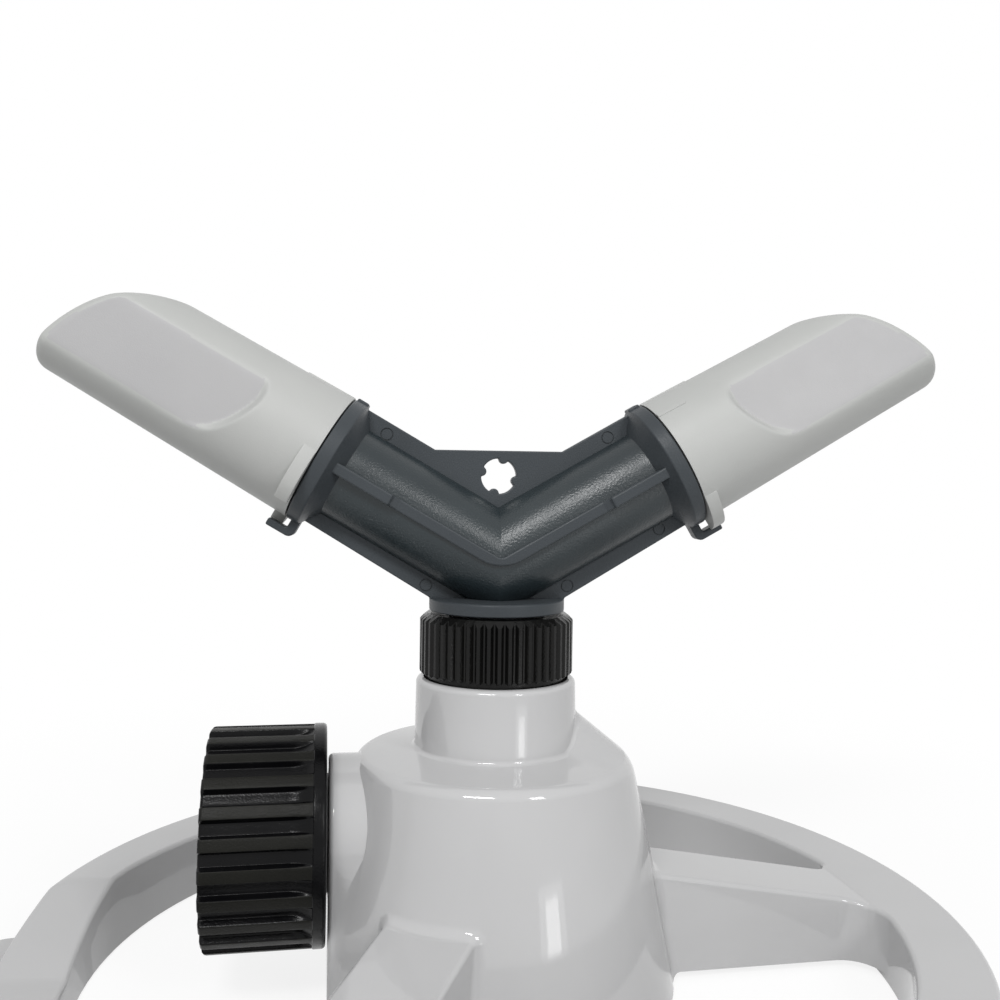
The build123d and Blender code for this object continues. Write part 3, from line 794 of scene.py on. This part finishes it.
def nut_stations():
    """Rows along the nut: the height, and the radius of its ribs and of its valleys there."""
    band_r = nut_outer_r + nut_band_proud
    edge = nut_edge_round
    stations = [(edge * along, band_r - edge * sunk, band_r - edge * sunk) for along, sunk in edge_round_rows]
    stations.append((nut_band_width - nut_band_step, band_r, band_r))
    stations.append((nut_band_width, nut_outer_r, nut_outer_r - nut_scoop_lead))
    scoop_depth = nut_outer_r - nut_root_r
    for number in range(1, SCOOP_STEPS + 1):
        share = number / SCOOP_STEPS
        sunk = scoop_depth * (nut_scoop_start + (1 - nut_scoop_start) * sin(share * pi / 2))
        stations.append((nut_band_width + nut_scoop_length * share, nut_outer_r, nut_outer_r - sunk))
    for (along, sunk), valley in zip(reversed(edge_round_rows), nut_valley_sunk):
        stations.append((nut_length - edge * along, nut_outer_r - edge * sunk, nut_root_r - edge * valley))
    return stations


def nut_profile():
    """A rib with half a valley to each side: angles in degrees, and levels from valley to rib."""
    pitch = 360 / nut_rib_count
    rib_half = nut_rib_angle / 2
    foot_half = rib_half + nut_flank_angle
    half = [(0, 1.0), (rib_half / 2, 1.0)]
    half += [(rib_half + step, level) for step, level in nut_rib_edge]
    half += [(foot_half + step, level) for step, level in nut_foot_edge]
    half.append(((foot_half + pitch / 2) / 2, 0.0))
    return [(-angle, level) for angle, level in reversed(half[1:])] + half + [(pitch / 2, 0.0)]


def nut_body():
    """Ribbed nut with a plain band at its inner end, bored out and threaded."""
    stations = nut_stations()
    profile = nut_profile()

    def place(row, step):
        height, rib_r, valley_r = stations[row]
        rib, number = divmod(step, len(profile))
        angle, level = profile[number]
        turn = radians(rib * 360 / nut_rib_count + angle)
        radius = valley_r + (rib_r - valley_r) * level
        return radius * cos(turn), radius * sin(turn), height

    bm = spun_rows(len(stations), nut_rib_count * len(profile), place)
    thread_root_r = nut_thread_r + thread_depth
    bore = turned(
        [
            (nut_journal_r, -cut_spare),
            (nut_journal_r, nut_end_wall),
            (nut_relief_r, nut_end_wall),
            (nut_relief_r, nut_thread_start),
            (thread_root_r, nut_thread_start + thread_depth),
            (thread_root_r, nut_length - nut_mouth_depth),
            (thread_root_r + nut_mouth_flare, nut_length + overlap),
        ],
        closed=False,
    )
    bm = combined(bm, [bore], "DIFFERENCE")
    bm = combined(bm, [nut_thread()], "UNION")
    return placed(bm, on_inlet() @ Matrix.Translation((0, 0, nut_foot_x)))


def nut_thread():
    """Hose thread: one ridge that climbs the bore as a helix."""
    outer = nut_thread_r + thread_depth + thread_root_sunk
    half = thread_pitch / 2 - thread_flank_gap
    crest = thread_crest_half
    bm = outline([(outer, -half), (nut_thread_r, -crest), (nut_thread_r, crest), (outer, half)])
    turns = (nut_length - nut_thread_start - thread_run_out) / thread_pitch
    steps = int(THREAD_STEPS * turns)
    climb = turns * thread_pitch / steps
    bmesh.ops.spin(
        bm, geom=bm.verts[:] + bm.edges[:], cent=(0, 0, 0), axis=(0, 0, 1), dvec=(0, 0, climb),
        angle=2 * pi * turns, steps=steps,
    )
    tidy(bm)
    return placed(bm, Matrix.Translation((0, 0, nut_thread_start + thread_pitch / 2 + thread_lead_in)))


# Knurled collar


def collar_body():
    """Collar with sharp teeth: their tips end lower at the chamfer than the grooves between them."""
    top = collar_top_z - knurl_foot_z
    chamfer_z = top - collar_chamfer
    groove_r = knurl_r - knurl_depth
    mouth = (knurl_r - collar_chamfer - collar_top_ease, top)
    foot = knurl_foot_chamfer
    tips = ((knurl_r - foot, 0), (knurl_r, foot), (knurl_r, chamfer_z), mouth)
    grooves = ((groove_r, foot), (groove_r, foot), (groove_r, chamfer_z + knurl_depth), mouth)
    tip = knurl_tip_share
    shares = (-tip, tip, 0.5 - tip / 2, 0.5 + tip / 2)

    def place(row, step):
        tooth, corner = divmod(step, len(shares))
        radius, height = tips[row] if corner < 2 else grooves[row]
        turn = 2 * pi * (tooth + shares[corner]) / knurl_count
        return radius * cos(turn), radius * sin(turn), knurl_foot_z + height

    bm = spun_rows(len(tips), knurl_count * len(shares), place)
    skirt_foot_z = knurl_foot_z - collar_skirt_depth
    skirt = turned(
        [
            (collar_bore_r - cut_spare, knurl_foot_z + overlap),
            (collar_skirt_r, knurl_foot_z + overlap),
            (collar_skirt_r, skirt_foot_z),
            (collar_bore_r - cut_spare, skirt_foot_z),
        ],
        {2: collar_skirt_round},
    )
    bm = combined(bm, [skirt], "UNION")
    bore = turned(
        [
            (collar_bore_r, skirt_foot_z - cut_spare),
            (collar_bore_r, collar_top_z - collar_lip),
            (collar_mouth_r, collar_top_z - collar_lip),
            (collar_mouth_r, collar_top_z + cut_spare),
        ],
        closed=False,
    )
    return combined(bm, [bore], "DIFFERENCE")


# Rotor arm


def arm_point(along, above):
    """Point of the right arm's middle plane, as (x, z)."""
    x = along * cos(arm_angle) - above * sin(arm_angle)
    return x, arm_centre_z + along * sin(arm_angle) + above * cos(arm_angle)


def bent_tubes():
    """The two tubes as one bent shape, mitred where they meet."""
    bm = placed(bar(tube_r, -2 * tube_r, arm_flange_s + cut_spare), arm_frame("right"))
    bmesh.ops.bisect_plane(
        bm, geom=everything(bm), plane_co=(0, 0, 0), plane_no=(-1, 0, 0), clear_outer=True
    )
    bmesh.ops.mirror(bm, geom=everything(bm), matrix=Matrix(), merge_dist=touch, axis="X")
    tidy(bm)
    return trimmed(bm, (0, 0, rotor_flange_z + overlap), (0, 0, -1))


def bent_rib():
    """Low rib that runs along both tubes and round their bend, front and back."""
    half = rib_width / 2
    end = arm_flange_s + overlap
    lower = (0, arm_centre_z - half / cos(arm_angle))
    upper = (0, arm_centre_z + half / cos(arm_angle))
    right = [arm_point(end, -half), arm_point(end, half)]
    left = [(-x, z) for x, z in reversed(right)]
    points = [lower] + right + [upper] + left
    depth = tube_r + rib_low_proud
    band = slab(points, -depth, depth, {0: band_outer_round, 3: band_inner_round}, BAND_STEPS)
    return edged(band, arm_edge_round)


def tall_rib(side):
    """Taller stretch of the rib, from a step and a short ramp out to the flange, front and back."""
    low = tube_r + rib_low_proud
    high = tube_r + rib_proud
    end = arm_flange_s + rib_end_overlap
    profile = [
        (low - overlap, rib_step_start - rib_ramp_length),
        (high - rib_ramp_drop, rib_step_start - rib_step_length),
        (high, rib_step_start),
        (high, end),
    ]
    points = profile + [(-depth, along) for depth, along in reversed(profile)]
    half = rib_width / 2 - rib_side_gap
    rib = edged(slab(points, -half, half), arm_edge_round)
    return placed(rib, arm_frame(side) @ about_z(pi / 2))


def arm_end(side):
    """Flared flange, rim block, stop hook and spigot at the end of an arm."""
    flare_s = arm_flange_s - arm_flare_length
    land_end = arm_reach + spigot_land_length
    groove_start = arm_reach + spigot_groove_start
    groove_end = groove_start + spigot_groove_width
    end = arm_reach + spigot_length
    core_r = tube_bore_r - cut_spare
    shape = turned(
        [
            (core_r, flare_s),
            (tube_r - arm_flare_sunk, flare_s),
            (arm_flange_r - arm_flange_ease, arm_flange_s),
            (arm_flange_r, arm_flange_s + arm_flange_ease_length),
            (arm_flange_r, arm_reach),
            (spigot_land_r, arm_reach),
            (spigot_land_r, land_end),
            (spigot_r, land_end),
            (spigot_r, groove_start),
            (spigot_groove_r, groove_start),
            (spigot_groove_r, groove_end),
            (spigot_r, groove_end),
            (spigot_r, end),
            (core_r, end),
        ],
        {2: arm_flange_rim_round, 3: arm_flange_rim_round, 4: arm_flange_face_round},
    )
    half_block = rim_block_width / 2
    rim_block = block(
        (spigot_r, -half_block, arm_flange_s + rim_block_inset),
        (arm_flange_r + rim_block_proud, half_block, arm_reach - rim_block_inset),
    )
    inner = cap_base_r + lug_proud - finger_thickness + finger_inner_gap
    outer = inner + finger_thickness
    tip = arm_reach + finger_reach
    web_end = arm_flange_s + finger_web
    points = [
        (-spigot_r, arm_flange_s),
        (-outer, arm_flange_s),
        (-outer, tip),
        (-inner, tip),
        (-inner, web_end),
        (-spigot_r, web_end),
    ]
    half_finger = finger_width / 2
    hook = slab(points, -half_finger, half_finger, {1: finger_corner_r, 4: finger_root_round})
    shape = combined(shape, [edged(rim_block, arm_edge_round), edged(hook, arm_edge_round)], "UNION")
    return placed(shape, arm_frame(side))


def hanging_hole():
    """Round hole with four small nubs that reach into it."""
    hole = bar(web_hole_r, -tube_r, tube_r, HOLE_STEPS)
    nubs = []
    for quarter in range(4):
        turn = quarter * pi / 2 + web_nub_turn
        nub = bar(web_nub_r, -2 * tube_r, 2 * tube_r, NUB_STEPS)
        nubs.append(placed(nub, Matrix.Translation((web_hole_r * cos(turn), web_hole_r * sin(turn), 0))))
    cutter = combined(hole, nubs, "DIFFERENCE")
    hole_middle = Matrix.Translation((0, 0, web_top_z - web_hole_drop))
    return placed(cutter, hole_middle @ Matrix.Rotation(pi / 2, 4, "X"))


def centre_plate():
    """Flat plate in the plane of the tubes, with the hanging hole over their bend."""
    top = tube_r + plate_above
    web_along = (web_top_z - arm_centre_z - top * cos(arm_angle)) / sin(arm_angle)
    right = [
        (rotor_flange_r, rotor_flange_top_z),
        arm_point(arm_flange_s + overlap, -tube_r - plate_below),
        arm_point(arm_flange_s + overlap, top),
        arm_point(web_along, top),
    ]
    left = [(-x, z) for x, z in reversed(right)]
    foot = [(-rotor_flange_r, rotor_flange_z + overlap), (rotor_flange_r, rotor_flange_z + overlap)]
    half = plate_thickness / 2
    plate = slab(right + left + foot, -half, half)
    return edged(combined(plate, [hanging_hole()], "DIFFERENCE"), fine_edge_round)


def rotor_foot():
    """Round flange on which the arm stands, and the spindle under it."""
    spindle_foot_z = rotor_flange_z - spindle_length
    core_r = spindle_bore_r - cut_spare
    return turned(
        [
            (core_r, spindle_foot_z),
            (spindle_r, spindle_foot_z),
            (spindle_r, rotor_flange_z),
            (rotor_flange_r, rotor_flange_z),
            (rotor_flange_r, rotor_flange_top_z),
            (core_r, rotor_flange_top_z),
        ],
        {3: rotor_flange_foot_round, 4: rotor_flange_top_round},
    )


def pin_marks():
    """Fine round lines that the moulding pins leave on the front of the plate."""
    low = plate_thickness / 2 - pin_mark_depth
    points = rectangle(pin_mark_r - pin_line_width, pin_mark_r, low, plate_thickness)
    marks = []
    for x, z in pin_mark_places:
        mark = turned(points, steps=PIN_STEPS)
        marks.append(placed(mark, Matrix.Translation((x, 0, z)) @ Matrix.Rotation(pi / 2, 4, "X")))
    return marks


def rotor_body():
    parts = [centre_plate(), bent_rib(), rotor_foot()]
    bores = [bar(spindle_bore_r, rotor_flange_z - spindle_length - cut_spare, arm_centre_z)]
    for side in ("left", "right"):
        parts += [tall_rib(side), arm_end(side)]
        bores.append(placed(bar(tube_bore_r, 0, arm_reach + spigot_length + cut_spare), arm_frame(side)))
    bm = combined(bent_tubes(), parts, "UNION")
    bm = combined(bm, bores + pin_marks(), "DIFFERENCE")
    return placed(bm, about_z(radians(rotor_rest_turn)))


# Nozzle caps


def flat_view(place, lean):
    """A place as seen square on to the side flat that leans by an angle."""
    return Matrix.Rotation(-cap_taper, 3, "X") @ Matrix.Rotation(lean, 3, "Z") @ place


def flat_pull(place, lean):
    """How far a point of the round body sinks to lie on a side flat, with soft edges."""
    seen = flat_view(place, lean)
    depth = seen.y - flat_distance
    if depth < -flat_clear:
        return 0.0
    ahead = seen.z - flat_start
    ends = (
        ahead,
        (ahead - (seen.x - flat_tongue_top) * tan(flat_high_angle)) * cos(flat_high_angle),
        (ahead - (flat_tongue_foot - seen.x) * tan(flat_low_angle)) * cos(flat_low_angle),
        seen.x + flat_low_reach,
    )
    within = -log(sum(exp(-flat_corner_ease * end) for end in ends)) / flat_corner_ease
    sunk = (depth + sqrt(depth**2 + 4 * flat_soft_edge**2)) / 2
    return sunk * eased((within + flat_soft_end) / (2 * flat_soft_end))


def flat_side(place):
    """Side of a cap that a place lies on, one at its front, and the lean of the flat there."""
    return (1, front_flat_lean) if place.y > 0 else (-1, back_flat_lean)


def from_front(place, side):
    """A place or direction at the back of a cap as if it were at its front."""
    return Vector((place.x, side * place.y, place.z))


def cap_side(turn, along):
    """Point on the tapered side of a cap, with a soft flat sunk into its front and its back."""
    radius = cap_base_r - along * cap_tan
    place = Vector((radius * cos(turn), radius * sin(turn), along))
    side, lean = flat_side(place)
    inward = Matrix.Rotation(-lean, 3, "Z") @ Matrix.Rotation(cap_taper, 3, "X") @ Vector((0, -1, 0))
    return place + flat_pull(from_front(place, side), lean) * from_front(inward, side)


def nose_point(x, y):
    """Point on the long arc across the end of a cap."""
    return Vector((x, y, cap_length - nose_r + sqrt(nose_r**2 - (x + nose_drop) ** 2)))


def rim_point(turn):
    """Point where the side of a cap runs into its nose."""
    rim = cap_side(turn, cap_length - cap_base_r)
    for closer in range(RIM_TRIES):
        rim = cap_side(turn, nose_point(rim.x, rim.y).z)
    return rim


def snout():
    """Solid cap: its side, a rounded rim that is softer over the crest, and the nose."""
    fine = [cap_fine_start + cap_fine_step * number for number in range(cap_fine_rows)]
    side_rows = [cap_face_gap, *cap_plain_rows, *fine]
    ends = []
    for step in range(CAP_STEPS):
        turn = 2 * pi * step / CAP_STEPS
        rim = rim_point(turn)
        reach = nose_edge_reach + (nose_crest_reach - nose_edge_reach) * max(0, cos(turn)) ** 4
        left = 1 - reach / rim.to_2d().length
        ends.append((cap_side(turn, rim.z - reach), rim, nose_point(rim.x * left, rim.y * left)))

    def place(row, step):
        if row < len(side_rows):
            return cap_side(2 * pi * step / CAP_STEPS, side_rows[row])
        start, rim, end = ends[step]
        row -= len(side_rows)
        if row <= RIM_STEPS:
            share = row / RIM_STEPS
            return (1 - share) ** 2 * start + 2 * share * (1 - share) * rim + share**2 * end
        share = nose_row_shares[row - RIM_STEPS - 1]
        return nose_point(end.x * share, end.y * share)

    rows = len(side_rows) + RIM_STEPS + 1 + len(nose_row_shares)
    return spun_rows(rows, CAP_STEPS, place)


def nose_side():
    """Side view of the hollow as a thick slab: straight top, rounded crest and the long arc of the nose."""
    centre_s = cap_length - nose_r
    radius = nose_r - cap_wall
    top = cap_base_r - cap_wall + nose_hollow_ease
    # The crest lies where the sloping top meets the arc
    square = 1 + cap_tan**2
    line = 2 * centre_s + 2 * cap_tan * (top + nose_drop)
    rest = centre_s**2 + (top + nose_drop) ** 2 - radius**2
    crest_s = (line + sqrt(line**2 - 4 * square * rest)) / (2 * square)
    last_turn = asin((top - cap_tan * crest_s + nose_drop) / radius) - nose_crest_lead
    nose = []
    for number in range(NOSE_STEPS + 1):
        turn = last_turn * number / NOSE_STEPS
        nose.append((radius * sin(turn) - nose_drop, centre_s + radius * cos(turn)))
    far = 2 * cap_base_r
    points = [(top + cap_tan * cut_spare, -cut_spare), (-far, -cut_spare), (-far, nose[0][1])]
    points += nose + [(top - cap_tan * crest_s, crest_s)]
    return slab(points, -far, far, {len(points) - 1: nose_crest_round}, CREST_STEPS)


def cap_lugs():
    """Two ramps that rise towards the stop hook from its front and its back."""
    finger_half = asin(finger_width / 2 / cap_base_r)
    near = finger_half + stop_gap_angle
    inner_r = (cap_socket_r + cap_base_r) / 2
    lugs = []
    for direction, start in ((1, near), (-1, near + cap_travel)):
        points = []
        for number in range(LUG_STEPS + 1):
            share = number / LUG_STEPS
            turn = start + lug_span * share
            radius = cap_base_r + min(1, (1 - share) / (1 - lug_plateau)) * lug_proud
            points.append((-radius * cos(turn), direction * radius * sin(turn)))
        for number in range(LUG_STEPS, -1, -2):
            turn = start + lug_span * number / LUG_STEPS
            points.append((-inner_r * cos(turn), direction * inner_r * sin(turn)))
        ramp = slab(points, -cap_face_gap - lug_width, -cap_face_gap)
        placed(ramp, Matrix.Rotation(-pi / 2, 4, "X"))
        lugs.append(edged(ramp, fine_edge_round))
    return lugs


def cap_ridges():
    """Two low straight ridges at the base: one on the crest, one further round."""
    half = ridge_width / 2
    root_r = cap_socket_r + 2 * overlap
    ridges = []
    for turn, length, proud in (
        (0, crest_ridge_length, crest_ridge_proud),
        (ridge_spread, side_ridge_length, side_ridge_proud),
    ):
        ridge = block((root_r, -half, cap_face_gap), (cap_base_r + proud, half, cap_face_gap + length))
        edged(ridge, fine_edge_round)
        for vert in ridge.verts:
            vert.co.x -= vert.co.z * cap_tan
        ridges.append(placed(ridge, about_z(turn)))
    return ridges


def cap_body(side):
    bm = combined(snout(), cap_lugs() + cap_ridges(), "UNION")
    hollow = bar(flat_distance - cap_wall, cap_socket_depth - cut_spare, cap_length)
    hollow = combined(hollow, [nose_side()], "INTERSECT")
    cuts = [bar(cap_socket_r, -cut_spare, cap_socket_depth), hollow]
    nose_centre = Matrix.Translation((-nose_drop, 0, cap_length - nose_r))
    for number in range(jet_count):
        turn = radians(jet_first_angle + (jet_last_angle - jet_first_angle) * number / (jet_count - 1))
        jet = bar(jet_r, nose_r - 2 * cap_wall, nose_r + cap_wall, JET_STEPS)
        cuts.append(placed(jet, nose_centre @ Matrix.Rotation(pi / 2 - turn, 4, "Y")))
    bm = combined(bm, cuts, "DIFFERENCE")
    for face in bm.faces:
        face.material_index = 1 if lies_on_flat(face) else 0
    return placed(bm, on_arm(side) @ Matrix.Translation((0, 0, arm_reach)))


def lies_on_flat(face):
    """Whether a face of a cap belongs to one of its two side flats."""
    place = face.calc_center_median()
    side, lean = flat_side(place)
    seen = flat_view(from_front(place, side), lean)
    square = flat_view(from_front(face.normal, side), lean)
    return abs(seen.y - flat_distance) < finish_reach and square.y > flat_facing


# Materials


def material(name):
    made = bpy.data.materials.new(name)
    made.use_nodes = True
    return made, made.node_tree.nodes, made.node_tree.links, made.node_tree.nodes["Principled BSDF"]


def set_inputs(node, values):
    """Sets inputs of a shader node by their names."""
    for name, value in values.items():
        node.inputs[name].default_value = value
    return node


def grain(nodes, links, scale, detail):
    """Noise of a given scale on the object's own coordinates."""
    coordinates = nodes.new("ShaderNodeTexCoord")
    noise = set_inputs(nodes.new("ShaderNodeTexNoise"), {"Scale": scale, "Detail": detail})
    links.new(coordinates.outputs["Object"], noise.inputs["Vector"])
    return noise.outputs["Fac"]


def ranged(nodes, links, source, low, high, start=0.3, end=0.7):
    """Value that runs from low to high while the source runs from start to end."""
    spread = nodes.new("ShaderNodeMapRange")
    set_inputs(spread, {"From Min": start, "From Max": end, "To Min": low, "To Max": high})
    links.new(source, spread.inputs["Value"])
    return spread.outputs["Result"]


def mottled(nodes, links, source, dark, light):
    """Colour that drifts between two near shades."""
    ramp = nodes.new("ShaderNodeValToRGB")
    ramp.color_ramp.elements[0].position = 0.35
    ramp.color_ramp.elements[0].color = (*dark, 1)
    ramp.color_ramp.elements[1].position = 0.65
    ramp.color_ramp.elements[1].color = (*light, 1)
    links.new(source, ramp.inputs["Fac"])
    return ramp.outputs["Color"]


def bumped(nodes, links, shader, source, height):
    bump = set_inputs(nodes.new("ShaderNodeBump"), {"Strength": 1.0, "Distance": height})
    links.new(source, bump.inputs["Height"])
    links.new(bump.outputs["Normal"], shader.inputs["Normal"])


def plastic(name, dark, light, gloss, grain_scale, grain_height, shine=0.5):
    """Moulded plastic: a drifting shade, an uneven gloss and a fine grain."""
    made, nodes, links, shader = material(name)
    set_inputs(shader, {"Specular IOR Level": shine})
    drift = grain(nodes, links, scale=45.0, detail=2.0)
    links.new(mottled(nodes, links, drift, dark, light), shader.inputs["Base Color"])
    haze = grain(nodes, links, scale=220.0, detail=4.0)
    links.new(ranged(nodes, links, haze, *gloss), shader.inputs["Roughness"])
    texture = grain(nodes, links, scale=grain_scale, detail=2.0)
    bumped(nodes, links, shader, texture, grain_height)
    return made


# Finishes: two shades, roughness from and to, scale and height of the grain, and shine
base_gloss = plastic(
    "base_gloss", (0.528, 0.528, 0.532), (0.552, 0.552, 0.556), (0.04, 0.08), 700.0, 0.000004
)
cap_matt = plastic("cap_matt", (0.45, 0.458, 0.446), (0.472, 0.478, 0.466), (0.46, 0.56), 5200.0, 0.00002)
cap_flat = plastic("cap_flat", (0.422, 0.42, 0.426), (0.442, 0.44, 0.444), (0.5, 0.6), 6400.0, 0.00002)
rotor_smooth = plastic(
    "rotor_smooth", (0.046, 0.053, 0.059), (0.055, 0.063, 0.07), (0.34, 0.44), 4200.0, 0.00004, 0.2
)
rotor_grained = plastic(
    "rotor_grained", (0.013, 0.02, 0.024), (0.019, 0.028, 0.032), (0.28, 0.36), 3000.0, 0.00006, 0.5
)
nut_black = plastic(
    "nut_black", (0.002, 0.002, 0.0025), (0.004, 0.004, 0.0045), (0.16, 0.28), 3600.0, 0.00003, 0.14
)
nut_rib_black = plastic(
    "nut_rib_black", (0.006, 0.006, 0.005), (0.011, 0.011, 0.009), (0.36, 0.48), 4200.0, 0.00006, 0.14
)
collar_black = plastic(
    "collar_black", (0.003, 0.003, 0.003), (0.006, 0.006, 0.0055), (0.16, 0.28), 3800.0, 0.00004, 0.2
)
pipe_black = plastic("pipe_black", (0.017, 0.017, 0.019), (0.023, 0.023, 0.025), (0.3, 0.4), 2000.0, 0.00002)
filter_white = plastic("filter_white", (0.62, 0.62, 0.6), (0.68, 0.68, 0.66), (0.4, 0.5), 2000.0, 0.00002)
bearing_white = plastic("bearing_white", (0.66, 0.65, 0.6), (0.7, 0.69, 0.65), (0.3, 0.4), 2400.0, 0.00001)
seal_black = plastic("seal_black", (0.01, 0.01, 0.01), (0.016, 0.016, 0.016), (0.55, 0.7), 3000.0, 0.00003)
bright_steel = plastic("bright_steel", (0.5, 0.5, 0.5), (0.58, 0.58, 0.57), (0.22, 0.34), 3000.0, 0.00001)
set_inputs(bright_steel.node_tree.nodes["Principled BSDF"], {"Metallic": 1.0})

slot_finish = {
    "base_plastic": base_gloss,
    "cap_plastic": cap_matt,
    "rotor_plastic": rotor_smooth,
    "black_plastic": nut_black,
    "pipe_plastic": pipe_black,
    "filter_plastic": filter_white,
    "bearing_plastic": bearing_white,
    "seal_rubber": seal_black,
    "steel": bright_steel,
}

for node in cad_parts.values():
    for place in node.material_slots:
        place.link = "OBJECT"
        place.material = slot_finish[node.data.materials[place.slot_index].name]


def rotor_finish(face):
    """Grain on the tubes, smooth elsewhere."""
    unturned = about_z(-radians(rotor_rest_turn))
    place = unturned @ face.calc_center_median()
    facing = unturned.to_3x3() @ face.normal
    side = 1 if place.x > 0 else -1
    out = Vector((side * cos(arm_angle), 0, sin(arm_angle)))
    offset = place - Vector((0, 0, arm_centre_z))
    across = offset - out * offset.dot(out)
    on_tube = abs(across.length - tube_r) < finish_reach and abs(facing.dot(out)) < tube_facing
    return 1 if on_tube else 0


def nut_finish(face):
    """Grain on the faces of the ribs, smooth elsewhere."""
    place = face.calc_center_median()
    radius = Vector((place.y, place.z - inlet_axis_z)).length
    rib = abs(radius - nut_outer_r) < finish_reach and place.x < -nut_foot_x - nut_band_width
    return 1 if rib else 0


finished(base_body(), "base_shell", "base", "base_moulding", [base_gloss], crease=50.0)
finished(
    nut_body(), "ribbed_nut", "nut", "swivel_nut", [nut_black, nut_rib_black], nut_finish
)
finished(
    collar_body(), "knurled_collar", "base", "bearing_collar", [collar_black], crease=24.0
)
finished(
    rotor_body(), "spinner_arm", "rotor", "rotor_arm", [rotor_smooth, rotor_grained],
    rotor_finish, crease=12.0,
)
for side in ("left", "right"):
    finished(
        cap_body(side), f"{side}_snout", f"{side}_cap", f"{side}_nozzle_cap",
        [cap_matt, cap_flat],
    )


# Stage, light and camera

room_light = 0.45

# Lamps: name, turn and rise in degrees, distance, width and height in metres, brightness
lamps = (
    ("left_softbox", -114.0, 42.0, 0.55, 0.20, 0.085, 27.0),
    ("right_softbox", -65.0, 26.0, 0.40, 0.07, 0.12, 14.0),
    ("low_strip", -64.0, -22.0, 0.15, 0.02, 0.015, 5.5),
    ("low_glow", -64.0, -22.0, 0.15, 0.04, 0.022, 1.4),
)

# Floor, in metres
floor_half_size = 3.0
floor_drop = 0.0003
floor_grey = 0.6
floor_roughness = 0.9
floor_share = 0.7
floor_glow = 1.2
floor_fade_start = 0.09
floor_fade_end = 0.28


def seen_as_background(nodes, links):
    """One for rays that look at the background, straight or by reflection, and nought for rays that light."""
    path = nodes.new("ShaderNodeLightPath")
    looks = path.outputs["Is Camera Ray"]
    for kind in ("Is Glossy Ray", "Is Transmission Ray"):
        either = nodes.new("ShaderNodeMath")
        either.operation = "MAXIMUM"
        links.new(looks, either.inputs[0])
        links.new(path.outputs[kind], either.inputs[1])
        looks = either.outputs[0]
    return looks


def stage_floor():
    """Floor that shows the shadow round the part and fades to plain white further off."""
    bm = bmesh.new()
    bmesh.ops.create_grid(bm, x_segments=1, y_segments=1, size=floor_half_size)
    bmesh.ops.translate(bm, verts=bm.verts[:], vec=(0, 0, -floor_drop))
    floor = as_object(bm, "stage_floor")
    made, nodes, links, shader = material("floor_white")
    set_inputs(shader, {"Base Color": (floor_grey, floor_grey, floor_grey, 1)})
    set_inputs(shader, {"Roughness": floor_roughness, "Specular IOR Level": 0.0})
    place = nodes.new("ShaderNodeNewGeometry")
    distance = nodes.new("ShaderNodeVectorMath")
    distance.operation = "LENGTH"
    links.new(place.outputs["Position"], distance.inputs[0])
    glow = nodes.new("ShaderNodeEmission")
    share = nodes.new("ShaderNodeMath")
    share.operation = "MULTIPLY"
    for near, target in ((floor_glow, glow.inputs["Strength"]), (floor_share, share.inputs[1])):
        fade = ranged(nodes, links, distance.outputs["Value"], near, 1.0, floor_fade_start, floor_fade_end)
        links.new(fade, target)
    links.new(seen_as_background(nodes, links), share.inputs[0])
    mix = nodes.new("ShaderNodeMixShader")
    links.new(share.outputs[0], mix.inputs[0])
    links.new(shader.outputs[0], mix.inputs[1])
    links.new(glow.outputs[0], mix.inputs[2])
    links.new(mix.outputs[0], nodes["Material Output"].inputs["Surface"])
    floor.data.materials.append(made)


def white_world():
    world = bpy.data.worlds.new("white_world")
    bpy.context.scene.world = world
    world.use_nodes = True
    nodes = world.node_tree.nodes
    links = world.node_tree.links
    sky = set_inputs(nodes["Background"], {"Color": (1, 1, 1, 1)})
    level = ranged(nodes, links, seen_as_background(nodes, links), room_light, 1.0, 0.0, 1.0)
    links.new(level, sky.inputs["Strength"])


def lamp(name, round_angle, up_angle, distance, width, height, brightness):
    """Soft lamp that looks at the hub from a direction, with the brightness of its face."""
    data = bpy.data.lights.new(name, "AREA")
    data.shape = "RECTANGLE"
    data.size = width
    data.size_y = height
    data.energy = brightness * pi * width * height
    item = added(name, data)
    turn = radians(round_angle)
    rise = radians(up_angle)
    way = Vector((cos(rise) * cos(turn), cos(rise) * sin(turn), sin(rise)))
    item.location = Vector((0, 0, arm_centre_z * MM)) + distance * way
    item.rotation_mode = "QUATERNION"
    item.rotation_quaternion = (-way).to_track_quat("-Z", "Y")


camera_lens = 36.0
camera_sensor = 36.0
camera_near = 0.005
camera_turn = radians(10.0)
camera_distance = 161.9
camera_height = 79.3
camera_yaw = radians(-0.11)
camera_pitch = radians(0.9)
camera_roll = radians(-0.8)


def photo_camera():
    data = bpy.data.cameras.new("photo_camera")
    data.lens = camera_lens
    data.sensor_width = camera_sensor
    data.clip_start = camera_near
    camera = added("photo_camera", data)
    look = Matrix.Rotation(camera_yaw, 4, "Z") @ Matrix.Rotation(-camera_pitch, 4, "X")
    look = look @ Matrix.Rotation(camera_roll, 4, "Y") @ Matrix.Rotation(pi / 2, 4, "X")
    stand = Matrix.Translation((0, -camera_distance * MM, camera_height * MM))
    camera.matrix_world = about_z(-camera_turn) @ stand @ look
    bpy.context.scene.camera = camera


stage_floor()
white_world()
for lamp_values in lamps:
    lamp(*lamp_values)
photo_camera()
bpy.context.scene.view_settings.view_transform = "Standard"
